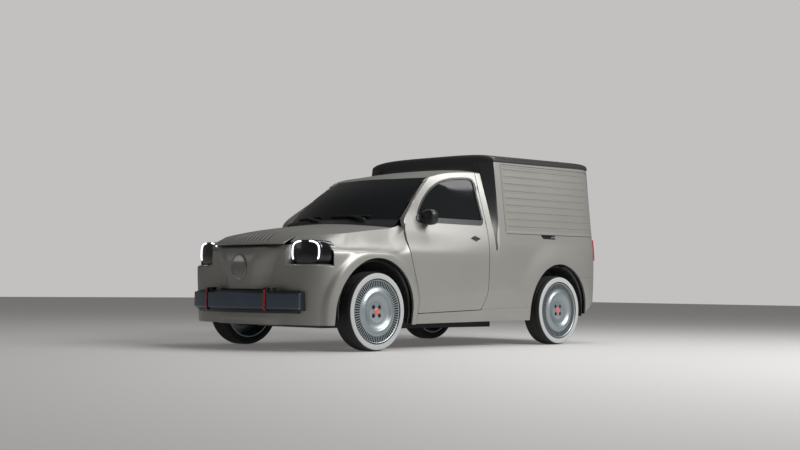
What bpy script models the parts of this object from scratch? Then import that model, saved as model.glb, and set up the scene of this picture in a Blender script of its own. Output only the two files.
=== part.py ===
"""A small electric panel van: a short bonneted cab with a tall box behind it, on large pressed wheels.

Metres, +Z up. The front faces -Y and the left side +X. The origin lies on the floor, under the
middle of the overall length. Body panels are sheets laid on one wrap-round surface: a plan curve
that runs from the middle of the nose, along the side, to the middle of the tail, pushed in and out
by the height.
"""

import math

import bmesh
import bpy
import numpy as np
from mathutils import Matrix, Vector

# Overall sizes
LENGTH = 3.94
FRONT_OVERHANG = 0.80
WHEELBASE = 2.434
TRACK = 1.57
RAKE = 0.012

# Places along the van
FRONT_AXLE = -LENGTH / 2 + FRONT_OVERHANG
REAR_AXLE = FRONT_AXLE + WHEELBASE

# Wheels and tyres
TYRE_RADIUS = 0.32
TYRE_WIDTH = 0.185
BEAD_RADIUS = 0.258
RIM_WIDTH = 0.150
ARCH_RADIUS = 0.430
LINER_RADIUS = 0.412
LINER_WALL = 0.008
KINGPIN_X = 0.700

# Body widths and heights
HALF_WIDTH = 0.868
WAIST_HEIGHT = 0.72
SIDE_BARREL = 0.25
LOWER_BARREL = 0.12
CAB_BARREL = 0.45
BELT_HEIGHT = 1.03
CAB_LEAN = 0.32
CAB_TAPER = 0.055
TAPER_RUN = 0.85
TAPER_FROM = 0.80
TAPER_GROWTH = 1.5
BOX_LEAN = 0.125
BOX_LEAN_FROM = 0.90
SILL_BOTTOM = 0.213
SILL_LINE = 0.302
SILL_LINE_RISE = 0.033
CREASE_HEIGHT = 0.468
CREASE_RISE = 0.088
CREASE_TUCK = 0.12

# Nose, tail and their plan corners
NOSE_FACE = -1.80
NOSE_POWER = 5.0
TAIL_FACE = LENGTH / 2
TAIL_PLAN_START = 1.20
TAIL_POWER = 9.0
TAIL_UPRIGHT = 0.35
FLARE_OUT = 0.020
FLARE_WIDTH = 0.055
REAR_BULGE_OUT = 0.022
REAR_BULGE_RADIUS = 0.66
VALLEY_DEPTH = 0.165

# Sheets and gaps
PANEL = 0.018
DOOR_DEPTH = 0.050
GLASS = 0.005
SHUT_GAP = 0.006
SEAT_GAP = 0.0004

# Bonnet, cowl, windscreen and cab roof
BONNET_FRONT = -1.845
BONNET_CROWN = 0.13
BONNET_NARROW = 0.44
BONNET_WIDE = 0.69
COWL_DEPTH = 0.085
SCREEN_BASE_Y = -0.915
SCREEN_BASE_SWEEP = 0.199
SCREEN_BASE_HALF = 0.675
SCREEN_BASE_Z = 1.088
SCREEN_BASE_RISE = 0.002
SCREEN_TOP_Y = -0.390
SCREEN_TOP_SWEEP = 0.135
SCREEN_TOP_HALF = 0.555
SCREEN_TOP_Z = 1.472
SCREEN_TOP_RISE = 0.006
CAB_ROOF_Z = 1.600

# The box behind the cab
CAB_END = 0.350
BOX_FRONT_TOP = 0.412
BOX_FRONT_BELT = 0.400
BOX_FULL_HEIGHT = 0.445
EAVES_CAB = 1.5500
EAVES_BOX = 1.655
EAVES_RISE = 0.022
BOX_CROWN = 0.088
BOX_POWER = 3.6
ROOF_TURN = 1.80

# Doors, hatches and rear doors
DOOR_REAR_LINE = (
    (0.170, 0.330),
    (0.212, 0.415),
    (0.234, 0.520),
    (0.242, 0.760),
    (0.262, 1.000),
    (0.285, 1.551),
)
DOOR_FRONT_LINE = (
    (-0.668, 0.302),
    (-0.676, 0.490),
    (-0.757, 0.748),
    (-0.783, 0.870),
    (-0.768, 0.960),
    (-0.745, 1.030),
    (-0.722, 1.105),
    (-0.495, 1.285),
    (-0.247, 1.480),
)
DOOR_TOP_LINE = ((-0.247, 1.480), (-0.071, 1.523), (0.134, 1.546), (0.285, 1.551))
WINDOW = (
    (-0.575, 1.068),
    (-0.575, 1.140),
    (-0.440, 1.268),
    (-0.298, 1.375),
    (-0.162, 1.450),
    (-0.030, 1.488),
    (0.132, 1.504),
    (0.225, 1.504),
    (0.258, 1.475),
    (0.240, 1.068),
)
HATCH_FRONT = 0.500
HATCH_REAR = 1.880
HATCH_BOTTOM = 1.0125
HATCH_TOP = 1.638
HATCH_DEPTH = 0.022
REAR_DOOR_HALF = 0.725
REAR_DOOR_BOTTOM = 0.640
REAR_DOOR_TOP = 1.585
BUMPER_TOP = 0.634

# Chassis
FLOOR_BOTTOM = 0.235
FLOOR_TOP = 0.265
LOAD_FLOOR = 0.560
WHEELHOUSE_INNER = 0.480
REAR_HOUSE_INNER = 0.620

PLAN_STEPS = 400


def smooth(low, high, value):
    """0 below low, 1 above high, and a smooth ramp between them."""
    share = np.clip((value - low) / (high - low), 0.0, 1.0)
    return share * share * (3 - 2 * share)


def lerp(first, second, share):
    """The value a share of the way from first to second."""
    return first + (second - first) * share


def plan_curve():
    """The plan of the left half at waist height, from nose centre to tail centre, with arc lengths."""
    turn = np.linspace(0, math.pi / 2, PLAN_STEPS)
    front_depth = FRONT_AXLE - NOSE_FACE
    front_x = HALF_WIDTH * np.sin(turn) ** (2 / NOSE_POWER)
    front_y = FRONT_AXLE - front_depth * np.cos(turn) ** (2 / NOSE_POWER)
    rear_depth = TAIL_FACE - TAIL_PLAN_START
    rear_x = HALF_WIDTH * np.cos(turn) ** (2 / TAIL_POWER)
    rear_y = TAIL_PLAN_START + rear_depth * np.sin(turn) ** (2 / TAIL_POWER)
    rear_x[-1] = 0.0
    front_y[-1] = FRONT_AXLE
    x = np.concatenate([front_x, rear_x])
    y = np.concatenate([front_y, rear_y])
    run = np.concatenate([[0.0], np.cumsum(np.hypot(np.diff(x), np.diff(y)))])
    return x, y, run


PLAN_X, PLAN_Y, PLAN_RUN = plan_curve()
PLAN_LENGTH = PLAN_RUN[-1]


def run_at_y(y):
    """Arc length along the plan where its side reaches y."""
    return np.interp(y, PLAN_Y, PLAN_RUN)


def run_at_nose_x(x):
    """Arc length along the plan where its front reaches x."""
    return np.interp(x, PLAN_X[:PLAN_STEPS], PLAN_RUN[:PLAN_STEPS])


def run_at_tail_x(x):
    """Arc length along the plan where its rear reaches x."""
    return np.interp(-x, -PLAN_X[PLAN_STEPS:], PLAN_RUN[PLAN_STEPS:])


def wheel_reach(y, z, axle):
    """Distance from a wheel's centre, measured sideways only below its axle."""
    return np.hypot(y - axle, np.maximum(z - TYRE_RADIUS, 0.0))


def box_share(y, z):
    """0 on the cab, 1 on the box, and a slanted ramp between their side surfaces."""
    edge = lerp(BOX_FRONT_BELT, BOX_FRONT_TOP, smooth(BELT_HEIGHT, EAVES_BOX, z))
    return np.clip((y - CAB_END) / (edge - CAB_END), 0.0, 1.0)


def push(y, z):
    """How far the surface stands out from the plan curve: barrel, lean, crease, flares and valley."""
    low = LOWER_BARREL * np.minimum(z - WAIST_HEIGHT, 0) ** 2
    cab = -CAB_BARREL * np.maximum(np.minimum(z, BELT_HEIGHT) - WAIST_HEIGHT, 0) ** 2
    cab = cab - CAB_LEAN * np.maximum(z - BELT_HEIGHT, 0)
    taper = np.clip((CAB_END - y) / TAPER_RUN, 0.0, 1.0) * smooth(TAPER_FROM, BELT_HEIGHT, z)
    cab = cab - CAB_TAPER * taper * (1 + TAPER_GROWTH * smooth(1.10, 1.50, z))
    box = -SIDE_BARREL * np.maximum(np.minimum(z, BOX_LEAN_FROM) - WAIST_HEIGHT, 0) ** 2
    box = box - BOX_LEAN * np.maximum(z - BOX_LEAN_FROM, 0)
    out = lerp(cab, box, box_share(y, z)) - low
    crease = CREASE_HEIGHT + CREASE_RISE * y
    fade = smooth(-0.76, -0.66, y) * (1 - smooth(0.40, 0.75, y))
    out = out - CREASE_TUCK * np.maximum(crease - z, 0) * fade
    front = wheel_reach(y, z, FRONT_AXLE)
    out = out + FLARE_OUT * (1 - smooth(ARCH_RADIUS + FLARE_WIDTH, ARCH_RADIUS + 2 * FLARE_WIDTH, front))
    rear = wheel_reach(y, z, REAR_AXLE)
    out = out + REAR_BULGE_OUT * (1 - smooth(ARCH_RADIUS, REAR_BULGE_RADIUS, rear))
    valley = smooth(0.80, 0.95, z) * (1 - smooth(-1.05, -0.82, y))
    return out - VALLEY_DEPTH * valley


def body_point(run, z):
    """The point of the body surface at a run along the plan and a height; it mirrors past either end."""
    side = 1.0
    if run < 0:
        run, side = -run, -1.0
    if run > PLAN_LENGTH:
        run, side = 2 * PLAN_LENGTH - run, -side
    x = float(np.interp(run, PLAN_RUN, PLAN_X))
    y = float(np.interp(run, PLAN_RUN, PLAN_Y))
    step = 0.003
    ahead = run + step
    behind = run - step
    tangent_x = np.interp(ahead, PLAN_RUN, PLAN_X) - np.interp(behind, PLAN_RUN, PLAN_X)
    tangent_y = np.interp(ahead, PLAN_RUN, PLAN_Y) - np.interp(behind, PLAN_RUN, PLAN_Y)
    if behind < 0:
        tangent_y = 0.0
    if ahead > PLAN_LENGTH:
        tangent_y = 0.0
    length = math.hypot(tangent_x, tangent_y)
    out = float(push(y, z))
    back = out * tangent_x / length
    if y > TAIL_PLAN_START:
        back *= TAIL_UPRIGHT
    return Vector((side * (x + out * tangent_y / length), y - back, z))


def side_point(y, z):
    """The point of the left side surface at a place along the van and a height."""
    return body_point(float(run_at_y(y)), z)


def along(points, share, rounded=True):
    """A point a share of the way along a smooth line through points."""
    line = np.array(points, float)
    lengths = np.concatenate([[0.0], np.cumsum(np.linalg.norm(np.diff(line, axis=0), axis=1))])
    target = share * lengths[-1]
    index = int(np.clip(np.searchsorted(lengths, target) - 1, 0, len(line) - 2))
    local = (target - lengths[index]) / (lengths[index + 1] - lengths[index])
    if not rounded:
        return lerp(line[index], line[index + 1], local)
    before = line[max(index - 1, 0)]
    after = line[min(index + 2, len(line) - 1)]
    start, end = line[index], line[index + 1]
    pull_start = (end - before) / 2
    pull_end = (after - start) / 2
    square, cube = local * local, local * local * local
    return (
        (2 * cube - 3 * square + 1) * start
        + (cube - 2 * square + local) * pull_start
        + (3 * square - 2 * cube) * end
        + (cube - square) * pull_end
    )


def patch(bottom, top, front, rear):
    """A flat patch inside four boundary lines, each a function of a share, as a function of (u, v)."""

    def place(u, v):
        sides = (1 - v) * bottom(u) + v * top(u) + (1 - u) * front(v) + u * rear(v)
        corners = (
            (1 - u) * (1 - v) * bottom(0)
            + u * (1 - v) * bottom(1)
            + (1 - u) * v * top(0)
            + u * v * top(1)
        )
        return sides - corners

    return place


def line(first, last):
    """A straight boundary between two points."""
    first, last = np.array(first, float), np.array(last, float)
    return lambda share: lerp(first, last, share)


def offset_outline(points, distance):
    """A closed outline, given anticlockwise, moved outwards by a distance; a negative one moves it inwards."""
    ring = np.array(points, float)
    before = ring - np.roll(ring, 1, axis=0)
    after = np.roll(ring, -1, axis=0) - ring
    before /= np.linalg.norm(before, axis=1)[:, None]
    after /= np.linalg.norm(after, axis=1)[:, None]
    normal_before = np.stack([before[:, 1], -before[:, 0]], axis=1)
    normal_after = np.stack([after[:, 1], -after[:, 0]], axis=1)
    mitre = normal_before + normal_after
    reach = np.maximum((mitre * normal_before).sum(axis=1), 0.35)
    return ring + distance * mitre / reach[:, None]


def sampled(points, count):
    """Points evenly along a smooth line."""
    return [along(points, share) for share in np.linspace(0, 1, count)]


def sill_line(y):
    """Height of the shut line between the door or side panel and the sill."""
    return SILL_LINE + SILL_LINE_RISE * (y - DOOR_FRONT_LINE[0][0])


def door_rear(z):
    """Place along the van of the door's rear shut line at a height."""
    return float(np.interp(z, [point[1] for point in DOOR_REAR_LINE], [point[0] for point in DOOR_REAR_LINE]))


def eaves_z(y):
    """Height of the side panel's upper edge: the cab roof's level, then up to the box's eaves."""
    share = float(np.clip((y - CAB_END) / (BOX_FRONT_TOP - CAB_END), 0, 1))
    return lerp(EAVES_CAB, EAVES_BOX, share) + EAVES_RISE * max(0.0, min(y, ROOF_TURN) - BOX_FRONT_TOP)


# Collections and basic helpers

for stale in list(bpy.data.objects):
    bpy.data.objects.remove(stale)

PARTS = bpy.data.collections.new("panel_van")
CUTTERS = bpy.data.collections.new("cutters")
bpy.context.scene.collection.children.link(PARTS)
bpy.context.scene.collection.children.link(CUTTERS)


def material(name, colour, roughness, metallic=0.0, alpha=1.0):
    """A Principled material of one colour."""
    made = bpy.data.materials.new(name)
    made.use_nodes = True
    shader = made.node_tree.nodes["Principled BSDF"]
    shader.inputs["Base Color"].default_value = (*colour, 1)
    shader.inputs["Roughness"].default_value = roughness
    shader.inputs["Metallic"].default_value = metallic
    shader.inputs["Alpha"].default_value = alpha
    return made


PAINT = material("warm_grey_paint", (0.36, 0.35, 0.32), 0.42, 0.25)
DARK_ROOF = material("dark_grey_roof", (0.045, 0.045, 0.047), 0.45)
BLACK_PLASTIC = material("black_plastic", (0.012, 0.012, 0.014), 0.38)
TINTED_GLASS = material("tinted_glass", (0.03, 0.032, 0.035), 0.04, 0.0, 0.45)
LAMP_GLASS = material("lamp_black", (0.02, 0.02, 0.025), 0.08)
RED_LENS = material("red_lens", (0.5, 0.02, 0.02), 0.15)
STEEL_BAR = material("satin_steel", (0.42, 0.45, 0.48), 0.25, 1.0)
RIM_METAL = material("rim_aluminium", (0.55, 0.60, 0.62), 0.30, 0.8)
RUBBER = material("tyre_rubber", (0.02, 0.02, 0.02), 0.75)
UNDERBODY = material("underbody_black", (0.025, 0.025, 0.026), 0.7)
CASTING = material("grey_casting", (0.25, 0.25, 0.26), 0.5, 0.8)
SEAT_CLOTH = material("seat_cloth", (0.07, 0.07, 0.075), 0.9)
TRIM = material("cabin_trim", (0.04, 0.04, 0.042), 0.7)


def add(name, mesh, look):
    """A new object that holds a mesh, with one material."""
    made = bpy.data.objects.new(name, mesh)
    PARTS.objects.link(made)
    mesh.materials.clear()
    mesh.materials.append(look)
    return made


def soften(made, angle=35):
    """Smooth shading, apart from edges sharper than the angle in degrees."""
    made.data.shade_smooth()
    made.data.set_sharp_from_angle(angle=math.radians(angle))
    return made


def baked(made):
    """The object with its modifiers applied to its mesh."""
    bpy.context.view_layer.update()
    graph = bpy.context.evaluated_depsgraph_get()
    mesh = bpy.data.meshes.new_from_object(made.evaluated_get(graph))
    made.modifiers.clear()
    made.data = mesh
    return made


def from_cage(name, cage, look):
    """An object made from a bmesh, which is then freed."""
    mesh = bpy.data.meshes.new(name)
    cage.to_mesh(mesh)
    cage.free()
    return add(name, mesh, look)


def sheet(name, columns, rows, place, thickness, look):
    """A grid laid on a surface by place(u, v), each 0 to 1, and thickened inwards."""
    cage = bmesh.new()
    bmesh.ops.create_grid(cage, x_segments=columns, y_segments=rows, size=0.5)
    for vertex in cage.verts:
        vertex.co = Vector(place(vertex.co.x + 0.5, vertex.co.y + 0.5))
    made = from_cage(name, cage, look)
    wall = made.modifiers.new("wall", "SOLIDIFY")
    wall.thickness = thickness
    wall.offset = -1
    return soften(baked(made))


def slab(name, columns, rows, upper, lower, look):
    """A solid between two surfaces of (u, v), the upper one and the lower one."""
    cage = bmesh.new()
    bmesh.ops.create_grid(cage, x_segments=columns, y_segments=rows, size=0.5)
    pulled = bmesh.ops.extrude_face_region(cage, geom=list(cage.faces))
    raised = [item for item in pulled["geom"] if isinstance(item, bmesh.types.BMVert)]
    bmesh.ops.translate(cage, vec=(0, 0, 1), verts=raised)
    for vertex in cage.verts:
        place = upper if vertex.co.z > 0.5 else lower
        vertex.co = Vector(place(vertex.co.x + 0.5, vertex.co.y + 0.5))
    bmesh.ops.recalc_face_normals(cage, faces=cage.faces)
    if cage.calc_volume(signed=True) < 0:
        bmesh.ops.reverse_faces(cage, faces=cage.faces)
    return soften(from_cage(name, cage, look))


def mirrored(made, name):
    """A copy of a finished piece on the other side of the van."""
    mesh = made.data.copy()
    mesh.transform(made.matrix_world)
    mesh.transform(Matrix.Scale(-1, 4, (1, 0, 0)))
    mesh.flip_normals()
    return soften(add(name, mesh, made.data.materials[0]))


def combine(made, operation, others, keep=False, solver="EXACT"):
    """Applies a boolean with each of the other solids, and removes them unless they are kept as guides."""
    for other in others:
        modifier = made.modifiers.new("combine", "BOOLEAN")
        modifier.operation = operation
        modifier.solver = solver
        modifier.object = other
        baked(made)
        if keep:
            hide(other)
        else:
            bpy.data.objects.remove(other)
    return soften(made)


def join(made, *others):
    """Unites solids into one."""
    return combine(made, "UNION", others)


def cut(made, *others):
    """Cuts solids out of one, and keeps them as guides."""
    return combine(made, "DIFFERENCE", others, keep=True)


def hide(cutter):
    """Moves a cutter to its own collection, drawn as wires only."""
    cutter.hide_render = True
    cutter.display_type = "WIRE"
    for collection in list(cutter.users_collection):
        collection.objects.unlink(cutter)
    CUTTERS.objects.link(cutter)
    return cutter


def box(name, low, high, look, bevel=0.0):
    """A box between two corners, with rounded edges where a bevel is given."""
    cage = bmesh.new()
    bmesh.ops.create_cube(cage, size=1.0)
    for vertex in cage.verts:
        vertex.co = Vector([lerp(low[i], high[i], vertex.co[i] + 0.5) for i in range(3)])
    made = from_cage(name, cage, look)
    if bevel:
        edge = made.modifiers.new("edge", "BEVEL")
        edge.width = bevel
        edge.segments = 2
        baked(made)
    return soften(made)


def prism(name, outline, axis, start, end, look=UNDERBODY):
    """A closed outline of points in the two other axes, pulled along an axis from start to end."""
    cage = bmesh.new()
    others = [i for i in range(3) if i != axis]
    ring = []
    for point in outline:
        place = [0.0, 0.0, 0.0]
        place[axis] = start
        place[others[0]], place[others[1]] = point
        ring.append(cage.verts.new(place))
    face = cage.faces.new(ring)
    pulled = bmesh.ops.extrude_face_region(cage, geom=[face])
    shift = Vector((0, 0, 0))
    shift[axis] = end - start
    moved = [item for item in pulled["geom"] if isinstance(item, bmesh.types.BMVert)]
    bmesh.ops.translate(cage, vec=shift, verts=moved)
    bmesh.ops.recalc_face_normals(cage, faces=cage.faces)
    return soften(from_cage(name, cage, look))


def turned(name, profile, centre, look, steps=48, degrees=360, start=0):
    """A closed profile of (radius, offset) points, turned round an axis along X through a centre."""
    cage = bmesh.new()
    angle = math.radians(start)
    verts = [
        cage.verts.new((offset, -radius * math.sin(angle), radius * math.cos(angle)))
        for radius, offset in profile
    ]
    for first, second in zip(verts, verts[1:] + verts[:1]):
        cage.edges.new((first, second))
    made = from_cage(name, cage, look)
    lathe = made.modifiers.new("lathe", "SCREW")
    lathe.axis = "X"
    lathe.angle = math.radians(degrees)
    lathe.steps = steps
    lathe.render_steps = steps
    lathe.use_merge_vertices = True
    lathe.merge_threshold = 0.0001
    baked(made)
    shell = bmesh.new()
    shell.from_mesh(made.data)
    bmesh.ops.holes_fill(shell, edges=[edge for edge in shell.edges if edge.is_boundary])
    bmesh.ops.recalc_face_normals(shell, faces=shell.faces)
    shell.to_mesh(made.data)
    shell.free()
    made.data.transform(Matrix.Translation(centre))
    return soften(made)


def cylinder(name, radius, start, end, look, sides=24):
    """A round bar between two points."""
    start, end = Vector(start), Vector(end)
    cage = bmesh.new()
    length = (end - start).length
    bmesh.ops.create_cone(cage, cap_ends=True, segments=sides, radius1=radius, radius2=radius, depth=length)
    turn = (end - start).to_track_quat("Z", "Y").to_matrix().to_4x4()
    bmesh.ops.transform(cage, matrix=Matrix.Translation((start + end) / 2) @ turn, verts=cage.verts)
    return soften(from_cage(name, cage, look))


def at_axis(made, origin):
    """Moves the object's origin to a point on its joint axis, and leaves the mesh where it is."""
    made.data.transform(Matrix.Translation(-Vector(origin)))
    made.location = origin
    return made


# Windscreen edges and the surfaces ahead of it


def screen_base(x):
    """A point of the windscreen's lower edge."""
    share = x / SCREEN_BASE_HALF
    y = SCREEN_BASE_Y + SCREEN_BASE_SWEEP * share * share
    return Vector((x, y, SCREEN_BASE_Z + SCREEN_BASE_RISE * share * share))


def screen_top(x):
    """A point of the windscreen's upper edge."""
    share = x / SCREEN_TOP_HALF
    y = SCREEN_TOP_Y + SCREEN_TOP_SWEEP * share * share
    return Vector((x, y, SCREEN_TOP_Z + SCREEN_TOP_RISE * share * share))


BONNET_ROWS = 9


def bonnet_z(x, y):
    """Height of the bonnet, which rises to the rear and falls towards its edges."""
    back = y - (BONNET_FRONT - 0.02)
    centre = 0.835 + 0.125 * (1 - math.exp(-max(back, 0) / 0.16)) + 0.105 * back
    return centre - BONNET_CROWN * x * x


def bonnet_half(y):
    """Half-width of the bonnet, narrow between the lamps and wide behind them."""
    return lerp(BONNET_NARROW, BONNET_WIDE, float(smooth(BONNET_FRONT, -1.46, y)))


def bonnet_front(x):
    """Place along the van of the bonnet's front edge."""
    return BONNET_FRONT + 0.20 * x * x


def bonnet_rear(x):
    """Place along the van of the bonnet's rear edge."""
    return screen_base(x).y - COWL_DEPTH


def bonnet_place(u, v, margin=SHUT_GAP / 2, lift=0.0):
    """The bonnet: across by u, back from the nose by v, inside its shut lines by a margin."""
    across = 2 * u - 1
    half = BONNET_WIDE - margin
    for _ in range(3):
        y = lerp(bonnet_front(across * half) + margin, bonnet_rear(across * half) - margin, v)
        half = bonnet_half(y) - margin
    x = across * half
    y = lerp(bonnet_front(x) + margin, bonnet_rear(x) - margin, v)
    return x, y, bonnet_z(x, y) + lift


def bonnet_room():
    """A cutter for the bonnet's place, wider than it by the shut gap."""
    above = 0.05
    below = 1.5 * PANEL + SHUT_GAP

    return slab(
        "bonnet_cut",
        10,
        BONNET_ROWS,
        lambda u, v: bonnet_place(u, v, -0.7 * SHUT_GAP, above),
        lambda u, v: bonnet_place(u, v, -0.7 * SHUT_GAP, -below),
        PAINT,
    )


bonnet = sheet("bonnet", 10, BONNET_ROWS, bonnet_place, PANEL, PAINT)

# Fenders, nose and front apron


def door_front(z):
    """Place along the van of the door's front shut line at a height below the belt."""
    heights = [point[1] for point in DOOR_FRONT_LINE[:6]]
    places = [point[0] for point in DOOR_FRONT_LINE[:6]]
    return float(np.interp(z, heights, places))


NOSE_EDGE_HEIGHTS = (0.330, 0.470, 0.523, 0.603, 0.706, 0.824)
NOSE_EDGE_HALVES = (0.395, 0.300, 0.294, 0.310, 0.368, 0.461)
NOSE_LAP = 0.006
NOSE_BOTTOM = 0.492
NOSE_TOP = 0.838
NOSE_ROWS = 7
NOSE_BACK = -1.775
APRON_TOP = 0.330
FENDER_BOTTOM = 0.210
FENDER_SHOULDER = 0.80
FENDER_SHARE = 0.62
FOOT_HEIGHT = 1.040
SIDE_SHARE = 0.6
FENDER_CORE = (0.50, -1.50, 0.60)


def nose_half(z):
    """Half-width of the nose panel and the apron, a shield that widens upwards."""
    return float(np.interp(z, NOSE_EDGE_HEIGHTS, NOSE_EDGE_HALVES))


def fender_place(u, v):
    """The left fender: from the nose panel to the door by u, and from its lower lip to the bonnet by v."""
    start = float(run_at_nose_x(nose_half(FENDER_SHOULDER) - NOSE_LAP))
    if v < FENDER_SHARE:
        z = lerp(FENDER_BOTTOM, FENDER_SHOULDER, v / FENDER_SHARE)
        start = float(run_at_nose_x(nose_half(z) - NOSE_LAP))
        end = float(run_at_y(door_front(z) - SHUT_GAP))
        return body_point(lerp(start, end, u), z)
    share = (v - FENDER_SHARE) / (1 - FENDER_SHARE)
    end = float(run_at_y(door_front(FENDER_SHOULDER) - SHUT_GAP))
    low = body_point(lerp(start, end, u), FENDER_SHOULDER)
    stop = door_front(FOOT_HEIGHT) - SHUT_GAP
    y = lerp(BONNET_FRONT + 0.06, stop, u)
    reach = bonnet_rear(BONNET_WIDE)
    if y < reach:
        half = bonnet_half(y) + SHUT_GAP / 2
        high = Vector((half, y, bonnet_z(half, y)))
    else:
        share_back = (y - reach) / (stop - reach)
        inner = BONNET_WIDE + SHUT_GAP / 2
        high = Vector((inner, y, lerp(bonnet_z(inner, reach), FOOT_HEIGHT, share_back)))
    z = lerp(FENDER_SHOULDER, FOOT_HEIGHT, min(1.0, share / SIDE_SHARE))
    rear_edge = body_point(float(run_at_y(door_front(z) - SHUT_GAP)), z)
    if share > SIDE_SHARE:
        inward = Vector((BONNET_WIDE + SHUT_GAP / 2, rear_edge.y, FOOT_HEIGHT))
        rear_edge = rear_edge.lerp(inward, (share - SIDE_SHARE) / (1 - SIDE_SHARE))
    point = low.lerp(high, share)
    inside = (1 - float(smooth(0.75, 1.0, u))) * float(smooth(0.25, 0.45, u))
    point.z -= 0.035 * math.sin(math.pi * share) * inside
    return point.lerp(rear_edge, float(smooth(0.8, 1.0, u)) ** 2)


def fender_inner(u, v):
    """The fender's inner surface, a wall's thickness nearer to the wheel."""
    point = Vector(fender_place(u, v))
    core_y = min(max(point.y, FENDER_CORE[1]), DOOR_FRONT_LINE[0][0] - 0.05)
    core = Vector((FENDER_CORE[0], core_y, min(point.z, FENDER_CORE[2])))
    return point + (core - point).normalized() * PANEL


def nose_room():
    """A cutter for the left half of the nose panel's and the apron's place."""
    reach = 2 * SEAT_GAP
    foot = nose_half(APRON_TOP) + reach
    rows = [lerp(NOSE_BOTTOM, NOSE_TOP, row / NOSE_ROWS) for row in range(NOSE_ROWS + 1)]
    edge = [(foot, 0.1), (foot, APRON_TOP + reach)] + [(nose_half(z) + reach, z) for z in rows]
    return prism("nose_cut", edge + [(edge[-1][0], 1.0), (0.1, 1.0), (0.1, 0.1)], 1, -2.1, -1.72)


def wheel_room(axle, name):
    """A cutter for a left wheel arch: round above the axle, straight below it."""
    steps = 28
    arc = [
        (
            axle + ARCH_RADIUS * math.cos(math.pi * step / steps),
            TYRE_RADIUS + ARCH_RADIUS * math.sin(math.pi * step / steps),
        )
        for step in range(steps + 1)
    ]
    foot = ARCH_RADIUS - 0.012
    return prism(name, arc + [(axle - foot, 0.05), (axle + foot, 0.05)], 0, 0.45, 1.1)


def door_room(name, far=1.2):
    """A cutter for the left door's place, wider than it by the shut gap."""
    outline = (
        sampled(DOOR_REAR_LINE, 14)
        + sampled(DOOR_TOP_LINE, 8)[::-1][1:]
        + sampled(DOOR_FRONT_LINE, 22)[::-1][1:]
    )
    return prism(name, offset_outline(outline, SHUT_GAP), 0, 0.45, far)


def door_pocket(name):
    """A cutter as deep as the left door, from just outside it to just behind it."""
    deep = DOOR_DEPTH + 0.010

    def spot(u, v):
        return side_point(lerp(-0.86, CAB_END - 0.004, u), lerp(0.26, 1.60, v))

    layer = slab(
        name,
        12,
        16,
        lambda u, v: spot(u, v) + Vector((0.06, 0, 0)),
        lambda u, v: spot(u, v) - Vector((deep, 0, 0)),
        PAINT,
    )
    return combine(layer, "INTERSECT", [door_room("pocket_outline")])


LAMP_LOW = 0.672
fender = slab("fender_left", 20, 12, fender_place, fender_inner, PAINT)
cut(
    fender,
    wheel_room(FRONT_AXLE, "front_arch_cut"),
    nose_room(),
    box("lamp_cut", (0.445, -2.1, LAMP_LOW), (0.752, -1.541, 1.2), PAINT),
    bonnet_room(),
    door_room("door_cut_fender"),
)
SHELF_OUTLINE = (
    (0.38, -1.790),
    (0.60, -1.770),
    (0.70, -1.742),
    (0.77, -1.694),
    (0.81, -1.640),
    (0.865, -1.500),
    (0.38, -1.500),
)
SHELF_WALL = 0.018
join(fender, prism("lamp_shelf", SHELF_OUTLINE, 2, LAMP_LOW - SHELF_WALL, LAMP_LOW, PAINT))
mirrored(fender, "fender_right")

# Nose panel, bumper bar and its carrier

WEB_HALF = 0.286


NOSE_STAND = 0.088
NOSE_FLAT = 0.45
NOSE_ROLL = 2.0
NOSE_ROLL_FROM = 0.70


def nose_y(x, z):
    """Front of the nose panel: it stands forward in the middle and sweeps back to the fenders at its edges."""
    skin = body_point(float(run_at_nose_x(abs(x))), z).y
    roll = max(0.0, z - NOSE_ROLL_FROM)
    stand = NOSE_STAND - NOSE_ROLL * roll * roll
    return skin - stand * (1 - float(smooth(NOSE_FLAT, 1.0, abs(x) / nose_half(z))))


def nose_place(u, v):
    """The nose panel: across by u, and up by v."""
    z = lerp(NOSE_BOTTOM, NOSE_TOP, v)
    x = lerp(-1, 1, u) * nose_half(z)
    return x, nose_y(x, z), z


def nose_back(u, v):
    """The back of the nose panel's deep rim."""
    x, y, z = nose_place(u, v)
    return x, max(NOSE_BACK, y + PANEL), z


def apron_place(u, v):
    """The lower apron between the fenders, under the bumper bar."""
    z = lerp(FENDER_BOTTOM - 0.004, APRON_TOP, v)
    x = lerp(-1, 1, u) * nose_half(APRON_TOP)
    return x, -1.865 + 0.30 * x * x + 0.4 * max(0.0, 0.25 - z), z


def web_place(u, v):
    """The wall behind the bumper bar, between the nose panel and the apron."""
    x = lerp(-WEB_HALF, WEB_HALF, u)
    return x, -1.855 + 0.30 * x * x, lerp(0.300, 0.540, v)


nose = slab("front_panel", 14, NOSE_ROWS, nose_place, nose_back, PAINT)
apron = sheet("apron", 8, 2, apron_place, 0.03, PAINT)
web = sheet("web", 6, 1, web_place, 0.04, PAINT)
join(nose, apron, web)
cut(nose, bonnet_room())

BAR_HALF = 0.68
BAR_FRONT = -LENGTH / 2
BAR_BOW = 0.34
BAR_LOW = 0.335
BAR_HIGH = 0.463
BAR_WALL = 0.018
CARRIER_WALL = 0.045


def bar_place(u, v):
    """The steel bumper bar, bowed across the nose."""
    x = lerp(-BAR_HALF, BAR_HALF, u)
    return x, BAR_FRONT + BAR_BOW * x * x, lerp(BAR_LOW, BAR_HIGH, v)


def carrier_place(u, v):
    """The black beam between the bumper bar and the body."""
    x, y, z = bar_place(lerp(0.02, 0.98, u), lerp(0.08, 0.92, v))
    return x, y + BAR_WALL * math.sqrt(1 + (2 * BAR_BOW * x) ** 2) + 0.0006, z


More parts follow.
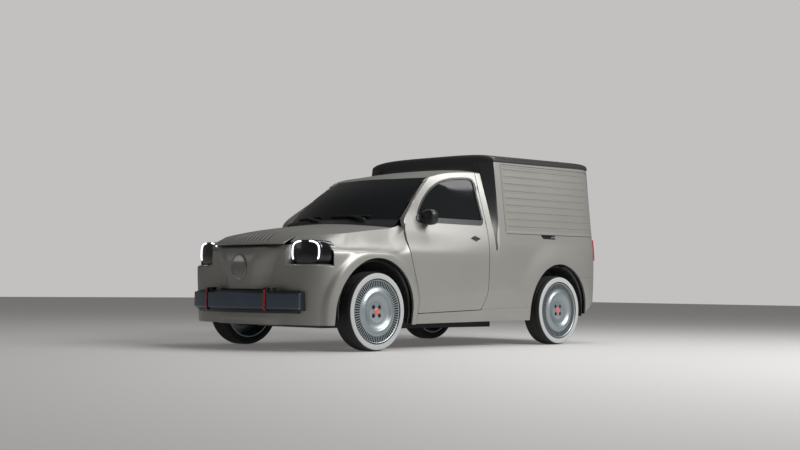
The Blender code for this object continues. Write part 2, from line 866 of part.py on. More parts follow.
sheet("bumper_bar", 16, 1, bar_place, BAR_WALL, STEEL_BAR)
carrier = sheet("bumper_carrier", 16, 1, carrier_place, CARRIER_WALL, BLACK_PLASTIC)
for side in (-1, 1):
    place = side * 0.361
    bracket = box("bracket", (place - 0.03, -1.885, 0.36), (place + 0.03, -1.7896, 0.44), BLACK_PLASTIC)
    join(carrier, bracket)

# Headlamps


def lamp(name, side):
    """A round-cornered black pod that stands in the fender's recess."""
    low = (-0.148, -0.10, -0.0795)
    high = (0.148, 0.095, 0.086)
    pod = box(name, low, high, LAMP_GLASS)
    edge = pod.modifiers.new("edge", "BEVEL")
    edge.width = 0.05
    edge.segments = 3
    baked(pod)
    pod.data.transform(Matrix.Translation((side * 0.5985, -1.650, LAMP_LOW + SEAT_GAP - low[2])))
    return soften(pod)


left_lamp = lamp("headlamp_left", 1)
cut(left_lamp, bonnet_room())
mirrored(left_lamp, "headlamp_right")

# Cab frame: windscreen pillars and roof, and the cowl


ROOF_LAP = 0.010
ROOF_SIDE_LINE = ((-0.335, 1.430),) + DOOR_TOP_LINE + ((CAB_END - 0.004, 1.5512),)
PILLAR_AHEAD = 0.020
PILLAR_RAISE = 0.012
PILLAR_LINE = DOOR_FRONT_LINE[5:] + ((-0.160, 1.500),)


def roof_edge(share):
    """A point of the cab roof's side edge, which is trimmed to the door's shut line afterwards."""
    y, z = along(ROOF_SIDE_LINE, share)
    return side_point(y, z - ROOF_LAP * (1 - float(smooth(0.25, 0.285, y))))


def cab_roof_place(u, v):
    """The cab roof: across by u, and back from the windscreen by v."""
    across = 2 * u - 1
    edge = roof_edge(v)
    x = across * edge.x
    y = lerp(screen_top(across * SCREEN_TOP_HALF).y + 2 * SHUT_GAP, CAB_END - 0.004, v)
    y = lerp(y, edge.y - (0.004 if v == 1 else 0.0), abs(across) ** 6)
    crown = max(0.0, 1 - abs(across) ** 2.6) ** 0.8
    centre = lerp(SCREEN_TOP_Z + 0.004, CAB_ROOF_Z, 1 - (1 - v) ** 1.6)
    return x, y, lerp(edge.z, centre, crown)


PILLAR_WALL = 0.026
POST_LOW = (0.6825, -0.744, FLOOR_TOP + SEAT_GAP)
POST_HIGH = (0.722, -0.704, 1.092)


def pillar_place(u, v):
    """The left windscreen pillar: from the glass to the door by u, and up by v."""
    inner = screen_base(SCREEN_BASE_HALF).lerp(screen_top(SCREEN_TOP_HALF), v)
    y, z = along(PILLAR_LINE, v)
    outer = side_point(y - PILLAR_AHEAD, z + PILLAR_RAISE)
    point = inner.lerp(outer, u)
    bow = 0.012 * math.sin(math.pi * u)
    return point.x + bow, point.y - bow, point.z


def screen_place(u, v, grow=0.0, ahead=0.0):
    """The windscreen: across by u, and up by v; a place wider by grow and further out by ahead."""
    across = 2 * u - 1
    low = screen_base(across * (SCREEN_BASE_HALF + grow))
    high = screen_top(across * (SCREEN_TOP_HALF + grow))
    point = low.lerp(high, lerp(-2 * grow, 1 + 2 * grow, v))
    slope = (screen_top(0) - screen_base(0)).normalized()
    normal = Vector((0, -slope.z, slope.y))
    return point + normal * (0.028 * math.sin(math.pi * v) + ahead)


def screen_room():
    """A cutter for the windscreen's place."""
    return slab(
        "screen_cut",
        10,
        5,
        lambda u, v: screen_place(u, v, SEAT_GAP, 0.030),
        lambda u, v: screen_place(u, v, SEAT_GAP, -0.045),
        PAINT,
    )


COWL_WALL = 0.02
COWL_FLOOR = 0.955
DASH_WALL_FRONT = -0.735


def cowl_place(u, v):
    """The cowl strip between the bonnet and the windscreen."""
    x = lerp(-1, 1, u) * (SCREEN_BASE_HALF - SHUT_GAP)
    front = bonnet_rear(x) + SHUT_GAP / 2
    back = screen_base(x)
    y = lerp(front, back.y + 0.012, v)
    return x, y, lerp(bonnet_z(x, front) - 0.001, back.z + 0.004, v)


def cowl_under(u, v):
    """The underside of the cowl's box, which meets the dash wall."""
    x, y, z = cowl_place(u, v)
    return x, lerp(y + COWL_WALL, DASH_WALL_FRONT - SEAT_GAP, v), COWL_FLOOR


PAD_X = 0.50
PAD_HALF = 0.02
PAD_REACH = 0.040


def pad_top(u, v):
    """The top of a rest under the bonnet's rear edge, on the cowl."""
    x = lerp(PAD_X - PAD_HALF, PAD_X + PAD_HALF, u)
    y = lerp(bonnet_rear(x) - PAD_REACH, bonnet_rear(x) + 0.020, v)
    return x, y, bonnet_z(PAD_X + PAD_HALF, bonnet_rear(PAD_X) - PAD_REACH) - PANEL - 0.001


def pad_foot(u, v):
    """The foot of that rest."""
    x, y, z = pad_top(u, v)
    return x, y, z - 0.015


cab = sheet("cab_frame", 12, 6, cab_roof_place, 0.030, PAINT)
left_pillar = sheet("pillar", 2, 8, pillar_place, PILLAR_WALL, PAINT)
join(left_pillar, box("post", POST_LOW, POST_HIGH, PAINT))
cut(left_pillar, screen_room())
combine(cab, "UNION", [left_pillar, mirrored(left_pillar, "pillar_right")], solver="MANIFOLD")
left_pocket = door_pocket("door_pocket_left")
pockets = [left_pocket, mirrored(left_pocket, "door_pocket_right")]
combine(cab, "DIFFERENCE", pockets, keep=True, solver="MANIFOLD")
strip_top = box("strip_room", (0.55, 0.2855, 1.20), (0.80, CAB_END + 0.01, EAVES_CAB), PAINT)
strips = [strip_top, mirrored(strip_top, "strip_room_right")]
combine(cab, "DIFFERENCE", strips, keep=True, solver="MANIFOLD")
cowl = slab("cowl", 12, 1, cowl_place, cowl_under, BLACK_PLASTIC)
cut(cowl, screen_room())
pad = slab("hinge_pad", 1, 2, pad_top, pad_foot, BLACK_PLASTIC)
join(cowl, pad, mirrored(pad, "hinge_pad_right"))
sheet("windscreen", 10, 5, screen_place, GLASS, TINTED_GLASS)

# Doors


def door_place(u, v):
    """The left door's outer surface, inside its shut lines."""
    y, z = patch(
        line(DOOR_FRONT_LINE[0], DOOR_REAR_LINE[0]),
        lambda share: along(DOOR_TOP_LINE, share),
        lambda share: along(DOOR_FRONT_LINE, share),
        lambda share: along(DOOR_REAR_LINE, share),
    )(u, v)
    return side_point(float(y), float(z))


def glass_place(u, v):
    """The surface of the left door's glass, a little wider than the window."""
    y = lerp(-0.62, 0.275, u)
    z = lerp(1.03, 1.530, v)
    point = side_point(y, z)
    return point.x - 0.016, point.y, point.z


def door_inner(u, v):
    """The left door's inner surface."""
    return door_place(u, v) - Vector((DOOR_DEPTH, 0, 0))


door = slab("door_left", 8, 14, door_place, door_inner, PAINT)
cut(door, prism("window_cut", WINDOW, 0, 0.4, 1.2), screen_room())
glass = sheet("door_glass_left", 5, 4, glass_place, GLASS, TINTED_GLASS)
combine(glass, "INTERSECT", [prism("glass_edge", offset_outline(WINDOW[::-1], -SEAT_GAP), 0, 0.4, 1.2)])

MIRROR_CENTRE = (0.815, -0.490, 1.112)
MIRROR_SIZE = (0.115, 0.085, 0.135)
MIRROR_FOOT = (-0.605, 1.092)
head = box(
    "mirror_left",
    [MIRROR_CENTRE[i] - MIRROR_SIZE[i] / 2 for i in range(3)],
    [MIRROR_CENTRE[i] + MIRROR_SIZE[i] / 2 for i in range(3)],
    BLACK_PLASTIC,
)
edge = head.modifiers.new("edge", "BEVEL")
edge.width = 0.035
edge.segments = 2
baked(head)


def side_normal(y, z, step=0.01):
    """Direction out of the left side surface at a point."""
    ahead = side_point(y + step, z) - side_point(y - step, z)
    up = side_point(y, z + step) - side_point(y, z - step)
    return ahead.cross(up).normalized()


mirror_foot = side_point(*MIRROR_FOOT)
out = side_normal(*MIRROR_FOOT)
arm = cylinder("mirror_arm", 0.016, mirror_foot + out * 0.018, (0.800, -0.520, 1.085), BLACK_PLASTIC, 12)
foot = cylinder("mirror_foot", 0.032, mirror_foot + out * 2.5 * SEAT_GAP, mirror_foot + out * 0.028, BLACK_PLASTIC, 16)
join(head, arm, foot)

# Sides of the box

TAIL_TURN = float(run_at_tail_x(REAR_DOOR_HALF))
HEADER_HALF = 0.7101


SIDE_COLUMNS = 22
RAMP_COLUMNS = 2


def side_run(u, start):
    """Run along the plan at a share of the side panel: a strip, the ramp out to the box, and the box's side."""
    column = u * SIDE_COLUMNS
    ramp = float(run_at_y(CAB_END))
    wide = float(run_at_y(BOX_FRONT_TOP))
    if column < 1:
        return lerp(start, ramp, column)
    if column < 1 + RAMP_COLUMNS:
        return lerp(ramp, wide, (column - 1) / RAMP_COLUMNS)
    return lerp(wide, TAIL_TURN, (column - 1 - RAMP_COLUMNS) / (SIDE_COLUMNS - 1 - RAMP_COLUMNS))


def side_place(u, v):
    """The left side panel: from the door to the rear door by u, and from the sill to the eaves by v."""
    z = lerp(sill_line(0.2), EAVES_BOX, v)
    y = body_point(side_run(u, float(run_at_y(door_rear(z) + SHUT_GAP))), WAIST_HEIGHT).y
    bottom = sill_line(min(y, REAR_AXLE)) + 2.4 * SEAT_GAP
    z = lerp(bottom, eaves_z(y) - 2 * SEAT_GAP, v)
    return body_point(side_run(u, float(run_at_y(door_rear(z) + SHUT_GAP + SEAT_GAP))), z)


side_panel = sheet("side_left", SIDE_COLUMNS, 10, side_place, PANEL, PAINT)


def rear_room_place(u, v):
    """The place of the left rear door, wider than it by half the shut gap."""
    run = lerp(TAIL_TURN + SHUT_GAP / 2, PLAN_LENGTH, u)
    return body_point(run, lerp(REAR_DOOR_BOTTOM - SHUT_GAP / 2, REAR_DOOR_TOP + SHUT_GAP / 2, v))


def raked(y, z):
    """A point raised by the box's rake."""
    return y, z + RAKE * (y - HATCH_FRONT)


BOX_FRONT_PANEL = (
    (CAB_END, 0.858),
    (0.3665, 0.862),
    (0.372, 0.950),
    (0.398, 1.100),
    (0.4065, 1.250),
    (0.409, 1.500),
    (0.410, 1.750),
    (CAB_END, 1.750),
)
hatch_outline = (
    raked(HATCH_FRONT, HATCH_BOTTOM),
    raked(HATCH_REAR, HATCH_BOTTOM),
    raked(HATCH_REAR, HATCH_TOP),
    raked(HATCH_FRONT, HATCH_TOP),
)
cut(
    side_panel,
    door_room("door_cut_side"),
    wheel_room(REAR_AXLE, "rear_arch_cut"),
    prism("hatch_cut", offset_outline(hatch_outline, SHUT_GAP), 0, 0.6, 1.1),
    box("tail_cut", (0.0, REAR_AXLE, 0.0), (1.2, 2.4, BUMPER_TOP + 2 * SEAT_GAP), PAINT),
    box("header_cut", (0.0, 1.5, REAR_DOOR_TOP), (HEADER_HALF + SEAT_GAP, 2.4, 1.8), PAINT),
    prism("box_front_cut", offset_outline(BOX_FRONT_PANEL, 6 * SEAT_GAP), 0, 0.5, 1.1),
    sheet("rear_door_cut", 4, 8, rear_room_place, 0.034, PAINT),
)


def hatch_place(u, v):
    """The left side hatch, flush in its opening."""
    y, z = raked(lerp(HATCH_FRONT, HATCH_REAR, u), lerp(HATCH_BOTTOM, HATCH_TOP, v))
    return side_point(float(y), float(z))


def hatch_inner(u, v):
    """The left side hatch's inner surface."""
    return hatch_place(u, v) - Vector((HATCH_DEPTH, 0, 0))


hatch = slab("hatch_left", 8, 9, hatch_place, hatch_inner, PAINT)

# Sills


SILL_DEPTH = 0.045


def sill_place(u, v):
    """The left sill between the wheel arches."""
    y = lerp(DOOR_FRONT_LINE[0][0] - SHUT_GAP / 2, REAR_AXLE - 0.30, u)
    top = sill_line(y) - SHUT_GAP * (1 - float(smooth(0.16, 0.18, y)))
    return side_point(y, lerp(SILL_BOTTOM + RAKE * (y + 0.7), top, v))


def sill_inner(u, v):
    """The sill's inner surface."""
    return sill_place(u, v) - Vector((SILL_DEPTH, 0, 0))


sill = slab("sill_left", 18, 2, sill_place, sill_inner, PAINT)
cut(sill, wheel_room(REAR_AXLE, "rear_arch_cut_sill"), wheel_room(FRONT_AXLE, "front_arch_cut_sill"))

# Roof of the box


def roof_section(y, across):
    """A point of the box roof's section at a place along the van."""
    rise = float(smooth(CAB_END, BOX_FULL_HEIGHT, y))
    base = eaves_z(y)
    edge = side_point(y, base).x
    turn = across * math.pi / 2
    x = edge * math.copysign(abs(math.sin(turn)) ** (2 / BOX_POWER), turn)
    full = base + BOX_CROWN * max(0.0, math.cos(turn)) ** (2 / BOX_POWER)
    crown = max(0.0, 1 - abs(x / edge) ** 2.6) ** 0.8
    low = lerp(base, CAB_ROOF_Z + 0.001, crown)
    return x, lerp(low, full, rise)


ROOF_STRAIGHT = 0.80


def roof_place(u, v):
    """The dark roof: across by u, and back from the cab by v, rounded down to the rear doors."""
    across = 2 * u - 1
    share = v ** 1.25
    y = lerp(CAB_END, ROOF_TURN, min(1.0, share / ROOF_STRAIGHT))
    x, z = roof_section(y, across)
    if share > ROOF_STRAIGHT:
        turn = (share - ROOF_STRAIGHT) / (1 - ROOF_STRAIGHT) * math.pi / 2
        base = eaves_z(ROOF_TURN)
        tail = body_point(float(run_at_tail_x(abs(x))), base)
        y = lerp(ROOF_TURN, tail.y, math.sin(turn) ** 0.6)
        x = lerp(x, math.copysign(tail.x, x), (1 - math.cos(turn)))
        z = lerp(base, z, max(0.0, math.cos(turn)) ** 0.5)
    return x, y, z


roof = sheet("roof", 16, 14, roof_place, PANEL, DARK_ROOF)
eaves_line = [(y, eaves_z(y) + SEAT_GAP) for y in (CAB_END, BOX_FRONT_TOP, ROOF_TURN)]
eaves_line = [(0.0, EAVES_CAB + SEAT_GAP)] + eaves_line + [(2.3, eaves_z(ROOF_TURN) + SEAT_GAP)]
cut(roof, prism("eaves_cut", [(0.0, 1.2), (2.3, 1.2)] + eaves_line[::-1], 0, -1.2, 1.2))


def box_front_place(u, v):
    """The dark panel between the cab's side and the box's side, a wedge that reaches down to the waist."""
    z = lerp(BOX_FRONT_PANEL[1][1], EAVES_BOX + 0.004, v)
    heights = [point[1] for point in BOX_FRONT_PANEL[1:7]]
    rear = float(np.interp(z, heights, [point[0] for point in BOX_FRONT_PANEL[1:7]]))
    return side_point(lerp(CAB_END + 0.0002, rear, u), z)


def box_front_inner(u, v):
    """The inner surface of the dark panel."""
    return box_front_place(u, v) - Vector((2 * PANEL, 0, 0))


left_front = slab("box_front", 2, 12, box_front_place, box_front_inner, DARK_ROOF)
join(roof, left_front, mirrored(left_front, "box_front_right"))

# Rear doors, header and bumper


def rear_door_place(u, v):
    """The left rear door, flush in the tail."""
    run = lerp(TAIL_TURN + SHUT_GAP, PLAN_LENGTH - SHUT_GAP / 2, u)
    return body_point(run, lerp(REAR_DOOR_BOTTOM, REAR_DOOR_TOP, v))


def rear_bumper_place(u, v):
    """The rear bumper, wrapped round the tail from one rear arch to the other."""
    start = float(run_at_y(REAR_AXLE + 0.20))
    run = lerp(start, 2 * PLAN_LENGTH - start, u)
    y = body_point(run, WAIST_HEIGHT).y
    low = lerp(0.270, 0.405, float(smooth(1.58, 1.93, y)))
    return body_point(run, lerp(low, BUMPER_TOP, v))


def header_place(u, v):
    """The strip between the rear doors and the roof."""
    first = TAIL_TURN + SEAT_GAP
    run = lerp(first, 2 * PLAN_LENGTH - first, u)
    return body_point(run, lerp(REAR_DOOR_TOP + SHUT_GAP, eaves_z(ROOF_TURN) - SEAT_GAP, v))


rear_door = sheet("rear_door_left", 4, 8, rear_door_place, 0.030, PAINT)
bumper = sheet("rear_bumper", 32, 2, rear_bumper_place, PANEL, PAINT)
right_arch = mirrored(wheel_room(REAR_AXLE, "bumper_arch_cut"), "bumper_arch_cut_right")
cut(bumper, bpy.data.objects["bumper_arch_cut"], right_arch)
header = sheet("rear_header", 14, 1, header_place, PANEL, PAINT)
cut(
    header,
    box("header_end_cut", (HEADER_HALF, 1.5, 1.4), (1.2, 2.3, 1.9), PAINT),
    box("header_end_cut_right", (-1.2, 1.5, 1.4), (-HEADER_HALF, 2.3, 1.9), PAINT),
)

# Floor, wheelhouses and bulkhead

FLOOR_HALF = 0.7612
floor = box("floor", (-FLOOR_HALF, -0.690, FLOOR_BOTTOM), (FLOOR_HALF, 0.800, FLOOR_TOP), UNDERBODY)


def wheelhouse(name, side, axle, inner):
    """A wheelhouse: a round shell over the wheel with a wall on its inner side."""
    outer = side * 0.840
    wall = side * inner
    inside = wall + side * LINER_WALL
    profile = (
        (LINER_RADIUS, outer),
        (LINER_RADIUS, wall),
        (0.10, wall),
        (0.10, inside),
        (LINER_RADIUS - LINER_WALL, inside),
        (LINER_RADIUS - LINER_WALL, outer),
    )
    if side < 0:
        profile = profile[::-1]
    return turned(name, profile, (0, axle, TYRE_RADIUS), UNDERBODY, 16, 196, -98)


for name, low, high in (
    ("load_floor", (-0.625, 0.30, LOAD_FLOOR), (0.625, 1.900, LOAD_FLOOR + 0.02)),
    ("bulkhead", (-0.66, 0.310, FLOOR_TOP - 0.01), (0.66, 0.330, 1.40)),
    ("toe_board", (-0.60, -0.768, FLOOR_BOTTOM), (0.60, -0.685, 0.90)),
    ("dash_wall", (-0.60, DASH_WALL_FRONT, 0.85), (0.60, -0.685, COWL_FLOOR)),
    ("battery", (-0.50, -0.50, 0.165), (0.50, 0.70, 0.240)),
    ("front_rail", (-0.385, -1.765, 0.240), (0.385, -0.70, 0.275)),
    ("nose_bracket", (-0.02, -1.8314, 0.262), (0.02, -1.70, 0.275)),
    ("rear_rail", (-0.50, 0.75, 0.250), (0.50, 1.90, 0.285)),
):
    join(floor, box(name, low, high, UNDERBODY))
for axle, inner in ((FRONT_AXLE, WHEELHOUSE_INNER), (REAR_AXLE, REAR_HOUSE_INNER)):
    for hand in (1, -1):
        join(floor, wheelhouse("wheelhouse", hand, axle, inner))

# Wheels


HUB_SEAT = 0.060
TYRE_STEPS = 32


def rim_profile():
    """Half-section of the wheel: barrel, dished disc and hub seat, as radius and offset from mid-plane."""
    face = RIM_WIDTH / 2
    return (
        (BEAD_RADIUS - 0.0005, -face),
        (BEAD_RADIUS - 0.0005, face),
        (BEAD_RADIUS - 0.010, face),
        (0.222, face - 0.016),
        (0.168, face - 0.010),
        (0.148, face - 0.030),
        (0.090, face - 0.050),
        (0.050, face - 0.034),
        (0.0, face - 0.032),
        (0.0, face - HUB_SEAT),
        (0.105, face - HUB_SEAT),
        (0.160, face - 0.040),
        (0.225, face - 0.030),
        (BEAD_RADIUS - 0.012, -face),
    )


def tyre_profile():
    """Section of the tyre, a hollow carcass from bead to bead."""
    half = TYRE_WIDTH / 2
    bead = RIM_WIDTH / 2
    return (
        (BEAD_RADIUS, -bead + 0.010),
        (BEAD_RADIUS, -bead - 0.002),
        (0.282, -half),
        (0.308, -half + 0.010),
        (TYRE_RADIUS, -half + 0.040),
        (TYRE_RADIUS, half - 0.040),
        (0.308, half - 0.010),
        (0.282, half),
        (BEAD_RADIUS, bead + 0.002),
        (BEAD_RADIUS, bead - 0.010),
        (0.300, half - 0.030),
        (0.300, -half + 0.030),
    )


def wheel(corner, side, axle):
    """A wheel with its tyre, on its spin axis."""
    centre = (side * TRACK / 2, axle, TYRE_RADIUS)
    rim_points = rim_profile()
    tyre_points = tyre_profile()
    if side < 0:
        rim_points = tuple((radius, -offset) for radius, offset in rim_points)[::-1]
        tyre_points = tuple((radius, -offset) for radius, offset in tyre_points)[::-1]
    at_axis(turned(f"rim_{corner}", rim_points, centre, RIM_METAL, TYRE_STEPS), centre)
    at_axis(turned(f"tyre_{corner}", tyre_points, centre, RUBBER, TYRE_STEPS), centre)


for corner, hand, axle in (
    ("front_left", 1, FRONT_AXLE),
    ("front_right", -1, FRONT_AXLE),
    ("rear_left", 1, REAR_AXLE),
    ("rear_right", -1, REAR_AXLE),
):
    wheel(corner, hand, axle)

# Axles and knuckles

HUB_FACE = TRACK / 2 + RIM_WIDTH / 2 - HUB_SEAT


def knuckle(name, side):
    """A front hub carrier, on its steering axis."""
    place = side * KINGPIN_X
    hub = cylinder(
        name,
        0.062,
        (side * (KINGPIN_X - 0.03), FRONT_AXLE, TYRE_RADIUS),
        (side * (HUB_FACE - SEAT_GAP), FRONT_AXLE, TYRE_RADIUS),
        CASTING,
        20,
    )
    low = (place - 0.025, FRONT_AXLE - 0.035, 0.20)
    high = (place + 0.025, FRONT_AXLE + 0.035, 0.46)
    return at_axis(join(hub, box("upright", low, high, CASTING)), (place, FRONT_AXLE, TYRE_RADIUS))


knuckle("knuckle_left", 1)
knuckle("knuckle_right", -1)

ARM_TOP = 0.1995
subframe = box("front_subframe", (-0.40, FRONT_AXLE - 0.16, 0.175), (0.40, FRONT_AXLE + 0.16, 0.2396), CASTING)
for hand in (1, -1):
    ends = (hand * 0.36, hand * (KINGPIN_X + 0.02))
    low = (min(ends), FRONT_AXLE - 0.03, 0.178)
    join(subframe, box("lower_arm", low, (max(ends), FRONT_AXLE + 0.03, ARM_TOP), CASTING))
box("drive_unit", (-0.26, -1.42, 0.2754), (0.26, -0.98, 0.640), CASTING, 0.02)
rear_axle = cylinder(
    "rear_axle",
    0.035,
    (-(HUB_FACE - SEAT_GAP), REAR_AXLE, TYRE_RADIUS),
    (HUB_FACE - SEAT_GAP, REAR_AXLE, TYRE_RADIUS),
    CASTING,
)
for hand in (1, -1):
    low = (hand * 0.56 - 0.02, 0.735, FLOOR_TOP + SEAT_GAP)
    high = (hand * 0.56 + 0.02, REAR_AXLE + 0.03, 0.325)
    join(rear_axle, box("trailing_arm", low, high, CASTING))

# Tail lamps


def tail_lamp_place(u, v):
    """A tall lens that lies on the tail's corner post."""
    run = float(run_at_tail_x(0.825)) + 0.055 * u
    point = body_point(run, lerp(0.80, 1.00, v))
    away = body_point(run, 0.9) - Vector((0.6, 1.5, 0.9))
    away.normalize()
    return point + away * LENS_DEPTH


LENS_DEPTH = 0.012
lens = sheet("tail_lamp_left", 3, 2, tail_lamp_place, LENS_DEPTH * 0.9, RED_LENS)
mirrored(lens, "tail_lamp_right")

# Cabin


def seat(name, side):
    """A front seat: cushion, back and head restraint."""
    place = side * 0.36
    cushion = box(name, (place - 0.24, -0.36, 0.40), (place + 0.24, 0.14, 0.56), SEAT_CLOTH, 0.04)
    base = box("seat_base", (place - 0.18, -0.30, FLOOR_TOP + SEAT_GAP), (place + 0.18, 0.08, 0.42), SEAT_CLOTH)
    back = box("seat_back", (place - 0.23, 0.0, 0.0), (place + 0.23, 0.12, 0.60), SEAT_CLOTH, 0.04)
    back.data.transform(Matrix.Translation((0, 0.06, 0.50)) @ Matrix.Rotation(math.radians(-10), 4, "X"))
    head = box("seat_head", (place - 0.12, 0.155, 1.06), (place + 0.12, 0.245, 1.24), SEAT_CLOTH, 0.03)
    return join(cushion, base, back, head)


seat("seat_left", 1)
seat("seat_right", -1)
DASH_OUTLINE = (
    (-0.6846, 0.60),
    (-0.6846, 1.01),
    (-0.60, 1.035),
    (-0.46, 1.01),
    (-0.42, 0.92),
    (-0.46, 0.72),
    (-0.58, 0.60),
)
dash = prism("dashboard", DASH_OUTLINE, 0, -0.66, 0.66, TRIM)

STEER_HUB = Vector((0.36, -0.33, 0.93))
STEER_TILT = math.radians(-62)
STEER_RADIUS = 0.175
STEER_GRIP = 0.014
STEER_SEAT = -0.045


def ring(name, radius, grip, steps, sides, look):
    """A round ring about the Z axis."""
    cage = bmesh.new()
    section = []
    for side in range(sides):
        turn = -2 * math.pi * side / sides
        section.append(cage.verts.new((radius + grip * math.cos(turn), 0, grip * math.sin(turn))))
    for first, second in zip(section, section[1:] + section[:1]):
        cage.edges.new((first, second))
    made = from_cage(name, cage, look)
    screw = made.modifiers.new("ring", "SCREW")
    screw.axis = "Z"
    screw.steps = steps
    screw.render_steps = steps
    screw.use_merge_vertices = True
    screw.merge_threshold = 0.0001
    baked(made)
    shell = bmesh.new()
    shell.from_mesh(made.data)
    bmesh.ops.recalc_face_normals(shell, faces=shell.faces)
    shell.to_mesh(made.data)
    shell.free()
    return soften(made)


def steering_wheel():
    """The steering wheel, with its axis along the column."""
    made = ring("steering_wheel", STEER_RADIUS, STEER_GRIP, 24, 6, TRIM)
    hub = cylinder("hub", 0.045, (0, 0, STEER_SEAT), (0, 0, 0.012), TRIM, 16)
    bar = box("spoke", (-STEER_RADIUS, -0.014, -0.008), (STEER_RADIUS, 0.014, 0.004), TRIM)
    lower = box("lower_spoke", (-0.014, -STEER_RADIUS, -0.007), (0.014, 0.0, 0.003), TRIM)
    join(made, hub, bar, lower)
    made.data.transform(Matrix.Translation(STEER_HUB) @ Matrix.Rotation(STEER_TILT, 4, "X"))
    return at_axis(made, STEER_HUB)


steering_wheel()
column = cylinder("column", 0.032, (0, 0, -0.16), (0, 0, STEER_SEAT - SEAT_GAP), TRIM, 16)
column.data.transform(Matrix.Translation(STEER_HUB) @ Matrix.Rotation(STEER_TILT, 4, "X"))
join(dash, column)

# Strikers and stops that carry the closed doors and lids


def striker(owner, low, high):
    """A small block that a closed door or lid bears on, joined to its owner."""
    return join(owner, box("striker", low, high, PAINT))


latch_y = door_rear(0.82)
door_edge = side_point(latch_y, 0.80)
striker(
    side_panel,
    (door_edge.x - 0.040, latch_y + SEAT_GAP, 0.78),
    (door_edge.x - 0.012, latch_y + 0.030, 0.82),
)
hatch_edge = side_point(1.10, HATCH_BOTTOM)
hatch_low = raked(1.10, HATCH_BOTTOM)[1]
striker(
    side_panel,
    (hatch_edge.x - 0.040, 1.07, hatch_low - 0.030),
    (hatch_edge.x - 0.006, 1.13, hatch_low - 0.0007),
)
latch_face = body_point(PLAN_LENGTH, REAR_DOOR_TOP).y
for hand in (1, -1):
    ends = (hand * 0.02, hand * 0.08)
    striker(
        header,
        (min(ends), latch_face - 0.045, REAR_DOOR_TOP + SHUT_GAP + 0.002),
        (max(ends), latch_face - 0.008, REAR_DOOR_TOP + 0.035),
    )
    striker(
        header,
        (min(ends), latch_face - 0.045, REAR_DOOR_TOP - 0.020),
        (max(ends), latch_face - 0.0304, REAR_DOOR_TOP + 0.030),
    )
stop_y = -1.800
striker(
    nose,
    (-0.03, stop_y - 0.05, 0.74),
    (0.03, stop_y, bonnet_z(0, stop_y - 0.05) - PANEL * 1.2),
)

# The other side of each mirrored piece, and the joint axes of the moving ones

DOOR_HINGE_HEIGHT = 0.78
hinge_edge = side_point(door_front(DOOR_HINGE_HEIGHT), DOOR_HINGE_HEIGHT)
DOOR_AXIS = Vector((hinge_edge.x, hinge_edge.y - SHUT_GAP / 2, hinge_edge.z))
hatch_corner = side_point(*raked(HATCH_FRONT, HATCH_TOP))
HATCH_AXIS = Vector((hatch_corner.x, hatch_corner.y, hatch_corner.z + SHUT_GAP / 2))
REAR_DOOR_AXIS = body_point(TAIL_TURN + SHUT_GAP / 2, WAIST_HEIGHT)
BONNET_AXIS = Vector((0, bonnet_rear(BONNET_WIDE) + SHUT_GAP / 2, bonnet_z(0, bonnet_rear(0)) + SHUT_GAP / 2))

at_axis(bonnet, BONNET_AXIS)
for piece, other, axis in (
    (door, "door_right", DOOR_AXIS),
    (glass, "door_glass_right", DOOR_AXIS),
    (head, "mirror_right", DOOR_AXIS),
    (hatch, "hatch_right", HATCH_AXIS),
    (rear_door, "rear_door_right", REAR_DOOR_AXIS),
    (side_panel, "side_right", None),
    (sill, "sill_right", None),
):
    twin = mirrored(piece, other)
    if axis:
        at_axis(twin, (-axis.x, axis.y, axis.z))
        at_axis(piece, axis)
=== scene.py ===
import math

import bpy
import numpy as np
from mathutils import Matrix, Vector


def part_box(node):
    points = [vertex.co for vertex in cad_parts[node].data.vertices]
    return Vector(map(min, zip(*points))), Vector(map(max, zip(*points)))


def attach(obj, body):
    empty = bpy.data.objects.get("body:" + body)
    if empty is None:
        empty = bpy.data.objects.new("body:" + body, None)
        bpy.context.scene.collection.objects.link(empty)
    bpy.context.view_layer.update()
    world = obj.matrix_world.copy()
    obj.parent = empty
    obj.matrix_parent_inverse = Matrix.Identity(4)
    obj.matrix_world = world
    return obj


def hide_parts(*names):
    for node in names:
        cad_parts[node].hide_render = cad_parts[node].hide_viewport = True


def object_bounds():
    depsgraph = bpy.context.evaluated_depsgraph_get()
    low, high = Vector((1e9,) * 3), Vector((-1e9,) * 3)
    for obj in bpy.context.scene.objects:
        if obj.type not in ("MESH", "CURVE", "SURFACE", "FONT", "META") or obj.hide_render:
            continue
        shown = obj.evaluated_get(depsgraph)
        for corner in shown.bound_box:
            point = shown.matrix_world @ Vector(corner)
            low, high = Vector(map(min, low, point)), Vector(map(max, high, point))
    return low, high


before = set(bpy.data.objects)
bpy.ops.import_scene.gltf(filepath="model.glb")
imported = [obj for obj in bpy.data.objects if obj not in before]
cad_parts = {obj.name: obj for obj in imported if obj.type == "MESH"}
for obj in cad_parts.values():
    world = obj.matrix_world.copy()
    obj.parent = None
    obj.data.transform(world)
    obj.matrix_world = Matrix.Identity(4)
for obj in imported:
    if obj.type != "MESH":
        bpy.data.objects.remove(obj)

cad_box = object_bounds()

